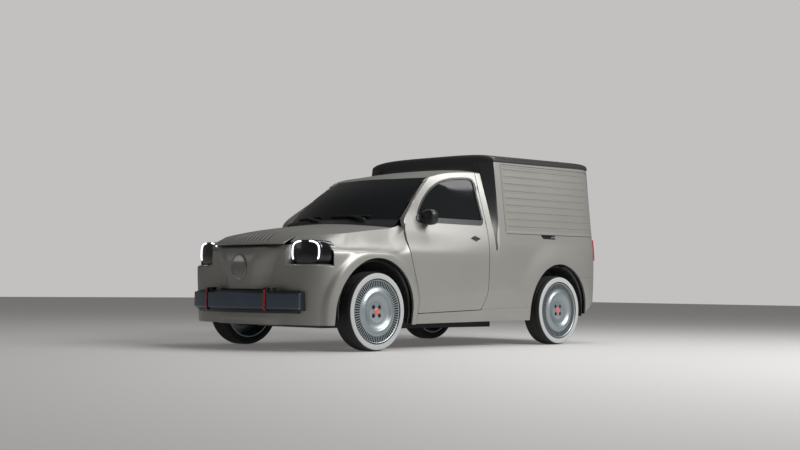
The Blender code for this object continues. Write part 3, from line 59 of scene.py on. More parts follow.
# Camera: low in front of the van's left corner, as in the photograph
yaw, pitch, roll = math.radians(43.342), math.radians(2.795), math.radians(0.635)
camera_place = (8.1997, -8.6825, 0.5045)
ahead = np.array([-math.sin(yaw) * math.cos(pitch), math.cos(yaw) * math.cos(pitch), math.sin(pitch)])
level = np.cross(ahead, [0, 0, 1])
level /= np.linalg.norm(level)
above = np.cross(level, ahead)
right = level * math.cos(roll) + above * math.sin(roll)
up = -level * math.sin(roll) + above * math.cos(roll)
camera_data = bpy.data.cameras.new("photo_camera")
camera_data.lens = 58.77
camera_data.sensor_width = 36.0
camera_data.clip_end = 200
camera = bpy.data.objects.new("photo_camera", camera_data)
bpy.context.scene.collection.objects.link(camera)
rows = [(right[i], up[i], -ahead[i], camera_place[i]) for i in range(3)]
camera.matrix_world = Matrix(rows + [(0, 0, 0, 1)])
bpy.context.scene.camera = camera
bpy.context.scene.view_settings.view_transform = "Standard"

# Studio: a pale floor, a dim sky, a long soft light on the van's left side and two weaker ones
floor_grey, floor_half = (0.50, 0.49, 0.48, 1), 40
floor_mesh = bpy.data.meshes.new("studio_floor")
floor_corners = [(floor_half * x, floor_half * y, 0) for x, y in ((-1, -1), (1, -1), (1, 1), (-1, 1))]
floor_mesh.from_pydata(floor_corners, [], [(0, 1, 2, 3)])
studio_floor = bpy.data.objects.new("studio_floor", floor_mesh)
bpy.context.scene.collection.objects.link(studio_floor)
floor_look = bpy.data.materials.new("pale_floor")
floor_look.use_nodes = True
floor_finish = floor_look.node_tree.nodes["Principled BSDF"].inputs
floor_finish["Base Color"].default_value = floor_grey
floor_finish["Roughness"].default_value = 0.65
floor_finish["Emission Color"].default_value = floor_grey
floor_finish["Emission Strength"].default_value = 0.22
floor_mesh.materials.append(floor_look)
sky = bpy.data.worlds.new("studio_sky")
sky.use_nodes = True
sky_tree = sky.node_tree
dim = sky_tree.nodes["Background"]
dim.inputs["Color"].default_value = (0.72, 0.72, 0.72, 1)
dim.inputs["Strength"].default_value = 0.14
seen = sky_tree.nodes.new("ShaderNodeBackground")
seen.inputs["Color"].default_value = (0.60, 0.59, 0.58, 1)
seen.inputs["Strength"].default_value = 0.9
rays = sky_tree.nodes.new("ShaderNodeLightPath")
either = sky_tree.nodes.new("ShaderNodeMixShader")
sky_tree.links.new(rays.outputs["Is Camera Ray"], either.inputs["Fac"])
sky_tree.links.new(dim.outputs["Background"], either.inputs[1])
sky_tree.links.new(seen.outputs["Background"], either.inputs[2])
sky_tree.links.new(either.outputs["Shader"], sky_tree.nodes["World Output"].inputs["Surface"])
bpy.context.scene.world = sky
for name, place, target, size, size_y, power in (
    ("side_light", (7.5, 1.6, 5.6), (0.6, 0.2, 0.9), 8.0, 3.4, 900.0),
    ("top_light", (0.8, 1.6, 6.0), (0.0, 0.2, 0.8), 5.0, 3.0, 150.0),
    ("front_light", (-5.0, -6.5, 2.4), (0.0, -1.5, 0.6), 3.0, 2.0, 14.0),
):
    light_data = bpy.data.lights.new(name, "AREA")
    light_data.shape = "RECTANGLE"
    light_data.size = size
    light_data.size_y = size_y
    light_data.energy = power
    light = bpy.data.objects.new(name, light_data)
    bpy.context.scene.collection.objects.link(light)
    light.location = place
    light.rotation_euler = (Vector(target) - Vector(place)).to_track_quat("-Z", "Y").to_euler()

# Front fenders: one pressed steel skin each side, from the nose panel round the wheel to the door, in the
# van's metallic grey. The skin follows the body's plan curve and stands out from it as its section says. The
# lamp's seat in it is a rolled ledge with an upright wall at its inner end.
body_finish = dict(colour=(0.290, 0.286, 0.266), roughness=0.40, grain=0.02, metallic=0.45, coat=0.25,
                   scale=900.0, spread=0.03)
wheel_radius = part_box("tyre_front_left")[1][2] / 2
front_axle = sum(corner[1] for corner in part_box("tyre_front_left")) / 2
rear_axle = sum(corner[1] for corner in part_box("tyre_rear_left")) / 2
arch_radius = 0.430
shut_gap = 0.006
half_width = 0.868
waist, belt = 0.72, 1.03
cab_end = 0.350
nose_y, tail_start, tail_y = -1.80, 1.20, 1.97
nose_power, tail_power = 2 / 5.0, 2 / 9.0
curve_points = 900
turn = np.linspace(0, math.pi / 2, curve_points)
plan_x = half_width * np.concatenate([np.sin(turn) ** nose_power, np.cos(turn) ** tail_power])
plan_x[-1] = 0.0
plan_y = np.concatenate([
    front_axle - (front_axle - nose_y) * np.cos(turn) ** nose_power,
    tail_start + (tail_y - tail_start) * np.sin(turn) ** tail_power,
])
plan_run = np.concatenate([[0.0], np.cumsum(np.hypot(np.diff(plan_x), np.diff(plan_y)))])
plan_length = plan_run[-1]


def painted(name, colour, roughness, grain=0.0, metallic=0.0, coat=0.0, scale=60.0, spread=0.12):
    """A material whose colour and roughness drift with a noise in object space, with a fine bump."""
    look = bpy.data.materials.new(name)
    look.use_nodes = True
    tree = look.node_tree
    shader = tree.nodes["Principled BSDF"]
    place = tree.nodes.new("ShaderNodeTexCoord")
    cloud = tree.nodes.new("ShaderNodeTexNoise")
    cloud.inputs["Scale"].default_value = 2.2
    cloud.inputs["Detail"].default_value = 4.0
    tree.links.new(place.outputs["Object"], cloud.inputs["Vector"])
    tint = tree.nodes.new("ShaderNodeValToRGB")
    for stop, position, change in zip(tint.color_ramp.elements, (0.3, 0.7), (1 - spread, 1 + spread)):
        stop.position = position
        stop.color = (*[share * change for share in colour], 1)
    tree.links.new(cloud.outputs["Fac"], tint.inputs["Fac"])
    tree.links.new(tint.outputs["Color"], shader.inputs["Base Color"])
    fine = tree.nodes.new("ShaderNodeTexNoise")
    fine.inputs["Scale"].default_value = scale
    fine.inputs["Detail"].default_value = 3.0
    tree.links.new(place.outputs["Object"], fine.inputs["Vector"])
    rough = tree.nodes.new("ShaderNodeMapRange")
    rough.inputs["To Min"].default_value = max(0.02, roughness - 0.06)
    rough.inputs["To Max"].default_value = roughness + 0.06
    tree.links.new(fine.outputs["Fac"], rough.inputs["Value"])
    tree.links.new(rough.outputs["Result"], shader.inputs["Roughness"])
    if grain:
        bump = tree.nodes.new("ShaderNodeBump")
        bump.inputs["Strength"].default_value = grain
        bump.inputs["Distance"].default_value = 0.001
        tree.links.new(fine.outputs["Fac"], bump.inputs["Height"])
        tree.links.new(bump.outputs["Normal"], shader.inputs["Normal"])
    shader.inputs["Metallic"].default_value = metallic
    shader.inputs["Coat Weight"].default_value = coat
    shader.inputs["Coat Roughness"].default_value = 0.25
    return look


def ease(low, high, value):
    """0 below low, 1 above high, and a smooth cubic ramp between them."""
    share = np.clip((value - low) / (high - low), 0.0, 1.0)
    return share * share * (3 - 2 * share)


def from_axle(axle, y, z):
    """Distance from an axle; below the axle's height only the distance along the van counts."""
    return np.hypot(y - axle, np.maximum(z - wheel_radius, 0))


def stand_out(y, z):
    """How far the skin stands out from the plan curve. Below the waist it draws in as the square, above it
    the cab leans in and the box less, with a ramp between. A crease, two flares and a valley are added."""
    low = 0.12 * np.minimum(z - waist, 0) ** 2
    cab = -0.45 * np.maximum(np.minimum(z, belt) - waist, 0) ** 2 - 0.32 * np.maximum(z - belt, 0)
    taper = np.clip((cab_end - y) / 0.85, 0.0, 1.0) * ease(0.80, belt, z)
    cab = cab - 0.055 * taper * (1 + 1.5 * ease(1.10, 1.50, z))
    box = -0.25 * np.maximum(np.minimum(z, 0.90) - waist, 0) ** 2 - 0.125 * np.maximum(z - 0.90, 0)
    edge = 0.400 + 0.012 * ease(belt, 1.655, z)
    share = np.clip((y - cab_end) / (edge - cab_end), 0.0, 1.0)
    out = cab + (box - cab) * share - low
    crease = 0.468 + 0.088 * y
    out = out - 0.12 * np.maximum(crease - z, 0) * ease(-0.76, -0.66, y) * (1 - ease(0.40, 0.75, y))
    front_flare = 1 - ease(arch_radius + 0.055, arch_radius + 0.110, from_axle(front_axle, y, z))
    rear_flare = 1 - ease(arch_radius, 0.66, from_axle(rear_axle, y, z))
    valley = ease(0.80, 0.95, z) * (1 - ease(-1.05, -0.82, y))
    return out + 0.020 * front_flare + 0.022 * rear_flare - 0.165 * valley


def skin(run, z):
    """The body skin: the plan curve at a run along it, pushed out along the curve's normal at a height."""
    side = np.where(run > plan_length, -1.0, 1.0)
    run = np.where(run > plan_length, 2 * plan_length - run, run)
    x = np.interp(run, plan_run, plan_x)
    y = np.interp(run, plan_run, plan_y)
    along_x = np.interp(run + 0.003, plan_run, plan_x) - np.interp(run - 0.003, plan_run, plan_x)
    along_y = np.interp(run + 0.003, plan_run, plan_y) - np.interp(run - 0.003, plan_run, plan_y)
    along_y = np.where((run < 0.003) | (run > plan_length - 0.003), 0.0, along_y)
    length = np.hypot(along_x, along_y)
    out = stand_out(y, z)
    back = out * along_x / length * np.where(y > tail_start, 0.35, 1.0)
    return np.stack([side * (x + out * along_y / length), y - back, z * np.ones_like(x)], axis=-1)


def run_in_front(x):
    """Run along the plan curve at a place across the van's front."""
    return np.interp(x, plan_x[:curve_points], plan_run[:curve_points])


def run_beside(y):
    """Run along the plan curve at a place along the van's side."""
    return np.interp(y, plan_y, plan_run)


def side_skin(y, z):
    """The left side of the skin at a place along the van and a height."""
    return skin(run_beside(y), z)


def smooth_line(points, count):
    """Points evenly along a line rounded through the given ones, each stretch a cubic with chord slopes."""
    given = np.array(points, float)
    reach = np.concatenate([[0.0], np.cumsum(np.linalg.norm(np.diff(given, axis=0), axis=1))])
    target = np.linspace(0, reach[-1], count)
    index = np.clip(np.searchsorted(reach, target) - 1, 0, len(given) - 2)
    t = ((target - reach[index]) / (reach[index + 1] - reach[index]))[:, None]
    first, last = given[index], given[index + 1]
    pull_first = (last - given[np.maximum(index - 1, 0)]) / 2
    pull_last = (given[np.minimum(index + 2, len(given) - 1)] - first) / 2
    return ((2 * t**3 - 3 * t**2 + 1) * first + (t**3 - 2 * t**2 + t) * pull_first
            + (3 * t**2 - 2 * t**3) * last + (t**3 - t**2) * pull_last)


def within(outline, a, b):
    """Distance inside a closed outline, negative outside: the nearest edge, signed by the edges crossed."""
    start, end = outline, np.roll(outline, -1, axis=0)
    nearest = np.full(a.shape, 1e9)
    crossings = np.zeros(a.shape, int)
    for (ax, ay), (bx, by) in zip(start, end):
        dx, dy = bx - ax, by - ay
        share = np.clip(((a - ax) * dx + (b - ay) * dy) / (dx * dx + dy * dy + 1e-18), 0, 1)
        nearest = np.minimum(nearest, np.hypot(a - ax - share * dx, b - ay - share * dy))
        if ay != by:
            crossings += ((ay > b) != (by > b)) & (a < ax + (b - ay) * dx / dy)
    return np.where(crossings % 2 == 1, nearest, -nearest)


def cells_of(number):
    """The corner numbers of each cell of a grid of point numbers."""
    corners = [number[:-1, :-1], number[1:, :-1], number[1:, 1:], number[:-1, 1:]]
    return np.stack(corners, axis=-1).reshape(-1, 4)


def gridded(surface, columns, rows, close_u=False):
    """A surface's points and cells. Columns and rows are counts of even cells, or the shares themselves, and
    the last column is joined to the first if the surface closes."""
    u_line = np.linspace(0, 1, columns + 1) if isinstance(columns, int) else columns
    v_line = np.linspace(0, 1, rows + 1) if isinstance(rows, int) else rows
    u, v = np.meshgrid(u_line[:-1] if close_u else u_line, v_line, indexing="ij")
    number = np.arange(u.size).reshape(u.shape)
    if close_u:
        number = np.concatenate([number, number[:1]])
    return surface(u, v).reshape(-1, 3), cells_of(number)


def trimmed(surface, field, columns, rows):
    """A grid over a surface, cut where a field turns negative: points near the cut slide onto it down the
    field's slope, cells with one point beyond it become triangles, and those with more are dropped."""
    u, v = np.meshgrid(np.linspace(0, 1, columns + 1), np.linspace(0, 1, rows + 1), indexing="ij")
    points = surface(u, v)
    inside = field(points)
    slope_u, slope_v = np.gradient(inside)
    steep = slope_u**2 + slope_v**2 + 1e-14
    near = np.abs(inside) < 0.5 * np.sqrt(steep)
    for _ in range(4):
        step = np.where(near, -inside / steep, 0)
        step = np.clip(step, -0.6 / np.sqrt(steep), 0.6 / np.sqrt(steep))
        u = np.clip(u + step * slope_u / columns, 0, 1)
        v = np.clip(v + step * slope_v / rows, 0, 1)
        points = surface(u, v)
        inside = field(points)
    kept = near | (inside > 0)
    cells = cells_of(np.arange(kept.size).reshape(kept.shape))
    good = kept.reshape(-1)[cells]
    whole = cells[good.all(axis=1)]
    three = good.sum(axis=1) == 3
    part, lost = cells[three], np.argmin(good[three], axis=1)
    lines = np.arange(len(part))
    part[lines, lost] = part[lines, (lost + 1) % 4]
    used, cells = np.unique(np.concatenate([whole, part]), return_inverse=True)
    return points.reshape(-1, 3)[used], cells.reshape(-1, 4)


def walled(points, cells, wall, depth=None):
    """A skin with an inner copy, set back along its normals by a wall or by a given depth, and a rim."""
    first, second = points[cells[:, 2]] - points[cells[:, 0]], points[cells[:, 3]] - points[cells[:, 1]]
    facing = np.cross(first, second)
    normal = np.zeros_like(points)
    for corner in range(4):
        np.add.at(normal, cells[:, corner], facing)
    normal /= np.linalg.norm(normal, axis=1)[:, None] + 1e-12
    inner = points - (normal * wall if depth is None else np.array(depth, float))
    count = len(points)
    sides = np.concatenate([cells[:, [0, 1]], cells[:, [1, 2]], cells[:, [2, 3]], cells[:, [3, 0]]])
    sides = sides[sides[:, 0] != sides[:, 1]]
    key = np.minimum(sides[:, 0], sides[:, 1]) * count + np.maximum(sides[:, 0], sides[:, 1])
    _, back, times = np.unique(key, return_inverse=True, return_counts=True)
    edge = sides[times[back] == 1]
    rim = np.stack([edge[:, 1], edge[:, 0], edge[:, 0] + count, edge[:, 1] + count], axis=1)
    return np.concatenate([points, inner]), np.concatenate([cells, cells[:, ::-1] + count, rim])


def faces_of(cells):
    """Face lists of cells, with the doubled corner of a triangle dropped."""
    listed = cells.tolist() if isinstance(cells, np.ndarray) else cells
    return [list(dict.fromkeys(cell)) for cell in listed]


def made(name, points, cells, look, body, *stands_for):
    """One piece from its points and cells, kept within the CAD's box, smooth but for its folds, on its body
    and in place of CAD nodes."""
    mesh = bpy.data.meshes.new(name)
    mesh.from_pydata(np.clip(points, *np.array(cad_box)), [], faces_of(cells))
    mesh.materials.append(look)
    mesh.shade_smooth()
    mesh.set_sharp_from_angle(angle=math.radians(38))
    mesh.update()
    piece = bpy.data.objects.new(name, mesh)
    bpy.context.scene.collection.objects.link(piece)
    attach(piece, body)
    if stands_for:
        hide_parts(*stands_for)
    return piece


def both_sides(name, points, cells, look, body, *stands_for):
    """The left piece, and the right one mirrored from it with its faces turned round."""
    faces = faces_of(cells)
    for word, hand in (("left", 1), ("right", -1)):
        made(name.format(word), points * (hand, 1, 1), [face[::hand] for face in faces], look,
             body.format(word), *[node.format(word) for node in stands_for])


door_front_line = ((-0.668, 0.302), (-0.676, 0.490), (-0.757, 0.748), (-0.783, 0.870), (-0.768, 0.960),
                   (-0.745, 1.030), (-0.722, 1.105), (-0.495, 1.285), (-0.247, 1.480))
door_top_line = ((-0.247, 1.480), (-0.071, 1.523), (0.134, 1.546), (0.285, 1.551))
door_rear_line = ((0.170, 0.330), (0.212, 0.415), (0.234, 0.520), (0.242, 0.760), (0.262, 1.000),
                  (0.285, 1.551))
door_outline = np.concatenate([
    smooth_line(door_rear_line, 60),
    smooth_line(door_top_line, 30)[::-1][1:],
    smooth_line(door_front_line, 90)[::-1][1:],
])
nose_heights = (0.330, 0.470, 0.523, 0.603, 0.706, 0.824)
nose_halves = (0.395, 0.300, 0.294, 0.310, 0.368, 0.461)
bonnet_front_y = -1.845
bonnet_narrow, bonnet_wide = 0.44, 0.69
screen_low_half, screen_low_y, screen_low_z, screen_low_sweep = 0.675, -0.915, 1.088, 0.199
cowl_depth = 0.085
lamp_low, lamp_high, lamp_inner, lamp_rear = 0.668, 0.869, 0.458, -1.620
fender_foot, fender_shoulder, fender_top, shoulder_share = 0.210, 0.80, 1.040, 0.62


def screen_base_y(x):
    """Place along the van of the windscreen's lower edge, which sweeps back as the square of x."""
    return screen_low_y + screen_low_sweep * (x / screen_low_half) ** 2


def bonnet_height(x, y):
    """Height of the bonnet: an early rise, a steady slope to the rear and a crown that falls as x squared."""
    back = y - (bonnet_front_y - 0.02)
    return 0.835 + 0.125 * (1 - np.exp(-np.maximum(back, 0) / 0.16)) + 0.105 * back - 0.13 * x * x


def bonnet_edge(y):
    """Half-width of the bonnet, narrow between the lamps and wide behind them."""
    return bonnet_narrow + (bonnet_wide - bonnet_narrow) * ease(-1.74, -1.36, y)


def fender_end(z):
    """Place along the van where the fender's sheet ends, a shut gap beyond the door's front line."""
    return np.interp(z, *np.array(door_front_line[:6])[:, ::-1].T) + shut_gap


def fender_sheet(u, v):
    """Below the shoulder the body skin; above it a sheet spanned from the shoulder to the bonnet's edge."""
    z = np.minimum(fender_foot + (fender_shoulder - fender_foot) * v / shoulder_share, fender_shoulder)
    start = run_in_front(np.interp(z, nose_heights, nose_halves) - 0.006)
    end = run_beside(fender_end(z))
    low = skin(start + (end - start) * u, z)
    share = np.clip((v - shoulder_share) / (1 - shoulder_share), 0, 1)[..., None]
    stop = fender_end(fender_top)
    y = bonnet_front_y + 0.06 + (stop - bonnet_front_y - 0.06) * u
    reach = screen_base_y(bonnet_wide) - cowl_depth
    half = bonnet_edge(y) + shut_gap / 2
    rim_z = bonnet_height(half, np.minimum(y, reach))
    rim_z = np.where(y < reach, rim_z, rim_z + (fender_top - rim_z) * (y - reach) / (stop - reach))
    high = np.stack([half, y, rim_z], axis=-1)
    rear_z = fender_shoulder + (fender_top - fender_shoulder) * np.minimum(1.0, share[..., 0] / 0.6)
    rear = side_skin(fender_end(rear_z), rear_z)
    inward_x = np.full_like(z, bonnet_wide + shut_gap / 2)
    inward = np.stack([inward_x, rear[..., 1], np.full_like(z, fender_top)], axis=-1)
    rear = rear + (inward - rear) * np.clip((share - 0.6) / 0.4, 0, 1)
    point = low + (high - low) * share
    sag = (1 - ease(0.75, 1.0, u)) * ease(0.25, 0.45, u)
    point[..., 2] -= 0.035 * np.sin(math.pi * share[..., 0]) * sag
    return np.where(share > 0, point + (rear - point) * ease(0.8, 1.0, u)[..., None] ** 2, low)


def fender_skin(u, v):
    """The fender sheet, averaged over a short reach up and down so that the shoulder turns softly."""
    offsets = np.linspace(-1, 1, 7)
    weights = np.array([1, 3, 6, 8, 6, 3, 1]) / 28
    reach = 0.055 * (1 - ease(0.0, 0.25, np.abs(v - 0.64)))
    return sum(w * fender_sheet(u, np.clip(v + o * reach, 0, 1)) for w, o in zip(weights, offsets))


def fender_field(points):
    """Outside the wheel arch, the door, the nose panel and the lamp's seat."""
    x, y, z = np.moveaxis(points, -1, 0)
    arch = from_axle(front_axle, y, z) - arch_radius
    door = np.where(y > -0.9, -within(door_outline, y, z) - shut_gap, 1.0)
    nose = x - np.interp(z, nose_heights, nose_halves) - 0.0008
    lamp = np.maximum.reduce([lamp_inner - x, y - lamp_rear, lamp_low - z, z - lamp_high])
    return np.minimum.reduce([arch, door, nose, lamp])


def lamp_ledge(u, v):
    """The seat's floor: from the skin's cut edge a quarter roll up and in, then flat to near the middle."""
    first, last = float(run_in_front(0.380)), float(run_beside(lamp_rear + 0.02))
    edge = skin(first + (last - first) * u, lamp_low)
    target = np.stack([np.minimum(edge[..., 0], 0.60), np.full_like(u, -1.60), np.full_like(u, lamp_low)],
                      axis=-1)
    roll = np.clip(v / 0.4, 0, 1) * math.pi / 2
    share = 0.30 * (1 - np.cos(roll)) * (v < 0.4) + (0.30 + 0.65 * (v - 0.4) / 0.6) * (v >= 0.4)
    point = edge + (target - edge) * share[..., None]
    point[..., 2] += 0.024 * np.sin(roll)
    return point


def lamp_cheek(u, v):
    """The seat's inner wall: straight back from the skin's cut edge beside the lamp, over its height."""
    z = lamp_low + (0.892 - lamp_low) * v
    front = skin(run_in_front(lamp_inner + 0.001), z)[..., 1]
    return np.stack([np.full_like(u, lamp_inner - 0.001), front + (-1.64 - front) * u, z], axis=-1)


body_paint = painted("body_paint", **body_finish)
points, cells = walled(*trimmed(fender_skin, fender_field, 130, 84), 0.009)
both_sides("fender_{}_skin", points, cells, body_paint, "body", "fender_{}")
points, cells = walled(*gridded(lamp_ledge, 72, 20), 0.006)
both_sides("lamp_ledge_{}_skin", points, cells, body_paint, "body")
points, cells = walled(*gridded(lamp_cheek, 12, 12), 0.0, (0.006, 0, 0))
both_sides("lamp_cheek_{}_skin", points, cells, body_paint, "body")

# Nose panel and apron: one pressed steel shield that blends into the fenders, the apron under the bar, and
# the black moulded well between them that the bar stands in.
moulding = painted("black_moulding", (0.010, 0.010, 0.011), roughness=0.36, grain=0.25, scale=900.0,
                   spread=0.15)
shield_low, shield_high = 0.492, 0.845
apron_low, apron_high, apron_half = 0.207, 0.334, 0.397
well_half, well_low, well_high = 0.286, 0.300, 0.493


def shield_y(x, z):
    """Place of the shield along the van: the body skin, stood forward in the middle, eased back outwards."""
    back = skin(run_in_front(np.abs(x)), z)[..., 1]
    stand = 0.088 - 2.0 * np.maximum(0.0, z - 0.70) ** 2
    return back - stand * (1 - ease(0.36, 1.0, np.abs(x) / np.interp(z, nose_heights, nose_halves)))


def nose_skin(u, v):
    """The shield between the fenders, across by u and up by v."""
    z = shield_low + (shield_high - shield_low) * v
    x = (2 * u - 1) * np.interp(z, nose_heights, nose_halves)
    return np.stack([x, shield_y(x, z), z], axis=-1)


def apron_skin(u, v):
    """The apron: bowed across as x squared, and tucked under towards its lower edge."""
    z = apron_low + (apron_high - apron_low) * v
    x = (2 * u - 1) * apron_half
    y = -1.865 + 0.30 * x * x + 0.4 * np.maximum(0.0, 0.25 - z)
    side = skin(run_in_front(np.abs(x)), z)[..., 1]
    return np.stack([x, y + (side - y) * ease(0.26, 0.395, np.abs(x)), z], axis=-1)


def well_skin(u, v):
    """The well's wall: upright, and bowed across as x squared."""
    x = (2 * u - 1) * well_half
    return np.stack([x, -1.855 + 0.30 * x * x, well_low + (well_high - well_low) * v], axis=-1)


points, cells = walled(*gridded(nose_skin, 72, 34), 0.0, (0, -0.016, 0))
made("nose_skin", points, cells, body_paint, "body", "front_panel")
points, cells = walled(*gridded(apron_skin, 40, 12), 0.0, (0, -0.025, 0))
made("apron_skin", points, cells, body_paint, "body")
points, cells = walled(*gridded(well_skin, 24, 1), 0.0, (0, -0.030, 0))
made("bar_well", points, cells, moulding, "body")

# Bonnet: one pressed steel lid, hinged at its rear edge, with nine slanted louvres in its front. Each louvre
# is a shallow hollow, painted near black along its middle as painted shade.
louvre_places = np.linspace(-0.19, 0.19, 9)
louvre_y, louvre_length, louvre_slant, louvre_depth = -1.720, 0.085, 0.45, 0.009


def masked(look, mask, colour, roughness, metallic):
    """A finish that turns to another colour where the piece's own mask is one: the tyre's pale band, and the
    painted shade in the louvres, the wheel slots and the bolt pockets.
    """
    tree = look.node_tree
    shader = tree.nodes["Principled BSDF"]
    marked = tree.nodes.new("ShaderNodeAttribute")
    marked.attribute_name = mask
    for socket, value in (("Base Color", (*colour, 1)), ("Roughness", roughness), ("Metallic", metallic)):
        joined = tree.nodes.new("ShaderNodeMix")
        joined.data_type = "RGBA" if socket == "Base Color" else "FLOAT"
        plugs = [plug for plug in joined.inputs if plug.enabled]
        tree.links.new(marked.outputs["Fac"], plugs[0])
        before = [link.from_socket for link in tree.links if link.to_socket == shader.inputs[socket]]
        if before:
            tree.links.new(before[0], plugs[1])
        else:
            plugs[1].default_value = shader.inputs[socket].default_value
        plugs[2].default_value = value
        tree.links.new([plug for plug in joined.outputs if plug.enabled][0], shader.inputs[socket])
    return look


def mark(piece, name, values):
    """Stores a mask on a piece's points; a walled piece's inner points take the outer ones' values."""
    layer = piece.data.attributes.new(name, "FLOAT", "POINT")
    layer.data.foreach_set("value", np.resize(np.asarray(values, np.float32), len(piece.data.vertices)))


def louvre_share(x, y):
    """One along the middle line of each slanted louvre, fading to both sides as a bell and to its ends."""
    reach = np.clip(1 - ((y - louvre_y) / louvre_length) ** 2, 0, 1) ** 0.5
    slanted = x + louvre_slant * (y - louvre_y)
    return sum(reach * np.exp(-((slanted - place) / 0.0090) ** 2) for place in louvre_places)


def bonnet_skin(u, v):
    """The bonnet between its shut lines: across by u, back by v, with the louvres as hollows. The half-width
    depends on the place along, so the two are worked out in turn until they agree."""
    across = 2 * u - 1
    margin = shut_gap / 2
    half = np.full_like(u, bonnet_wide - margin)
    for _ in range(5):
        x = across * half
        front, rear = bonnet_front_y + 0.20 * x * x + margin, screen_base_y(x) - cowl_depth - margin
        y = front + (rear - front) * v
        half = bonnet_edge(y) - margin
    return np.stack([x, y, bonnet_height(x, y) - louvre_depth * louvre_share(x, y)], axis=-1)


# Body paint with painted shade: near black along each louvre's middle, where the hollow lies in shadow.
paint_with_louvre_shade = masked(painted("paint_with_louvre_shade", **body_finish), "louvre", (0.012, 0.012, 0.012), 0.8, 0.0)
outer, cells = gridded(bonnet_skin, 240, np.linspace(0, 1, 53) ** 1.5)
points, cells = walled(outer, cells, 0.010)
piece = made("bonnet_skin", points, cells, paint_with_louvre_shade, "bonnet", "bonnet")
mark(piece, "louvre", np.minimum(1.0, 1.3 * louvre_share(outer[:, 0], outer[:, 1])))

# Cab roof and pillars: pressed steel round the windscreen, welded to the hinge posts and the box's front
# edge. The roof is crowned and each pillar bowed.
screen_high_half, screen_high_y, screen_high_z, screen_high_sweep = 0.555, -0.390, 1.472, 0.135
roof_front_z, roof_rear_z = 1.476, 1.600


def crowded(cells):
    """Shares from zero to one that crowd towards both ends, as a sine."""
    return 0.5 + 0.5 * np.sin(np.linspace(-1, 1, cells + 1) * math.pi / 2)


def crown_share(across):
    """Share of a roof's crown left at a place across: full in the middle, none at the edges."""
    return np.maximum(0.0, 1 - np.abs(across) ** 2.6) ** 0.8


def cab_roof_skin(u, v):
    """The cab roof: from the windscreen's top edge back to the box, between its two side edges."""
    across = 2 * u - 1
    line = smooth_line(((-0.335, 1.430),) + door_top_line + ((cab_end - 0.004, 1.5512),), 400)
    place = np.linspace(0, 1, 400)
    edge_y, edge_z = np.interp(v, place, line[:, 0]), np.interp(v, place, line[:, 1])
    edge = side_skin(edge_y, edge_z + 0.0058 * (1 - ease(0.25, 0.285, edge_y)))
    x = across * edge[..., 0]
    front = screen_high_y + screen_high_sweep * across**2 + 0.004
    y = front + (cab_end - 0.004 - front) * v
    y = y + (edge[..., 1] - y) * np.abs(across) ** 6
    centre = roof_front_z + (roof_rear_z - roof_front_z) * (1 - (1 - v) ** 1.6)
    return np.stack([x, y, edge[..., 2] + (centre - edge[..., 2]) * crown_share(across)], axis=-1)


points, cells = walled(*gridded(cab_roof_skin, crowded(80), 48), 0.014)
made("cab_roof_skin", points, cells, body_paint, "body", "cab_frame")


def pillar_skin(u, v):
    """The pillar: straight lines from the windscreen's side edge to the door's front edge, bowed out."""
    inner_low = np.array([screen_low_half, -0.716, 1.090])
    inner_high = np.array([screen_high_half, -0.255, 1.478])
    inner = inner_low + (inner_high - inner_low) * v[..., None]
    line = smooth_line(door_front_line[5:], 300)
    place = np.linspace(0, 1, 300)
    outer = side_skin(np.interp(v, place, line[:, 0]) - 0.003, np.interp(v, place, line[:, 1]) + 0.003)
    point = inner + (outer - inner) * u[..., None]
    bow = 0.012 * np.sin(math.pi * u)
    return point + np.stack([bow, -bow, np.zeros_like(bow)], axis=-1)


points, cells = walled(*gridded(pillar_skin, 12, 60), 0.014)
both_sides("pillar_{}_skin", points, cells, body_paint, "body")

# Windscreen: one bowed pane of dark tinted glass, bonded between the pillars, the cowl and the cab roof.
# It lets little light through and mirrors its surroundings weakly.
glass = painted("tinted_glass", (0.010, 0.011, 0.012), roughness=0.05, scale=8.0, spread=0.10)
glass.node_tree.nodes["Principled BSDF"].inputs["Alpha"].default_value = 0.90
glass.node_tree.nodes["Principled BSDF"].inputs["Specular IOR Level"].default_value = 0.20
screen_slope = math.atan2(screen_high_z - screen_low_z, screen_high_y - screen_low_y)
screen_out = np.array([0, -math.sin(screen_slope), math.cos(screen_slope)])


def screen_skin(u, v):
    """The pane: straight from its lower to its upper edge across its width, bowed out by a half sine."""
    across = 2 * u - 1
    low = np.stack([across * screen_low_half, screen_low_y + screen_low_sweep * across**2,
                    screen_low_z + 0.002 * across**2], axis=-1)
    high = np.stack([across * screen_high_half, screen_high_y + screen_high_sweep * across**2,
                     screen_high_z + 0.006 * across**2], axis=-1)
    return low + (high - low) * v[..., None] + 0.028 * np.sin(math.pi * v)[..., None] * screen_out


points, cells = walled(*gridded(screen_skin, 60, 30), 0.005)
made("windscreen_pane", points, cells, glass, "body", "windscreen")

# Doors: a pressed steel skin each side round an open window, on front hinges, with dark tinted glass in a
# black rubber seal that is wider along its foot.
window_line = ((-0.575, 1.068), (-0.575, 1.140), (-0.440, 1.268), (-0.298, 1.375), (-0.162, 1.450),
               (-0.030, 1.488), (0.132, 1.504), (0.225, 1.504), (0.258, 1.475), (0.240, 1.068))


def bent(t, first, middle, last):
    """A quadratic curve from first to last that is drawn towards middle."""
    return (1 - t) ** 2 * first + 2 * t * (1 - t) * middle + t**2 * last


def rounded(points, radius, steps=8):
    """A closed outline with each corner replaced by a quadratic curve that starts a radius away from it."""
    ring = np.array(points, float)
    before, after = np.roll(ring, 1, axis=0) - ring, np.roll(ring, -1, axis=0) - ring
    size_before, size_after = np.linalg.norm(before, axis=1), np.linalg.norm(after, axis=1)
    first = ring + before * (np.minimum(radius, size_before / 2) / size_before)[:, None]
    last = ring + after * (np.minimum(radius, size_after / 2) / size_after)[:, None]
    t = np.linspace(0, 1, steps)[None, :, None]
    return bent(t, first[:, None], ring[:, None], last[:, None]).reshape(-1, 2)


window = rounded(window_line, 0.060)


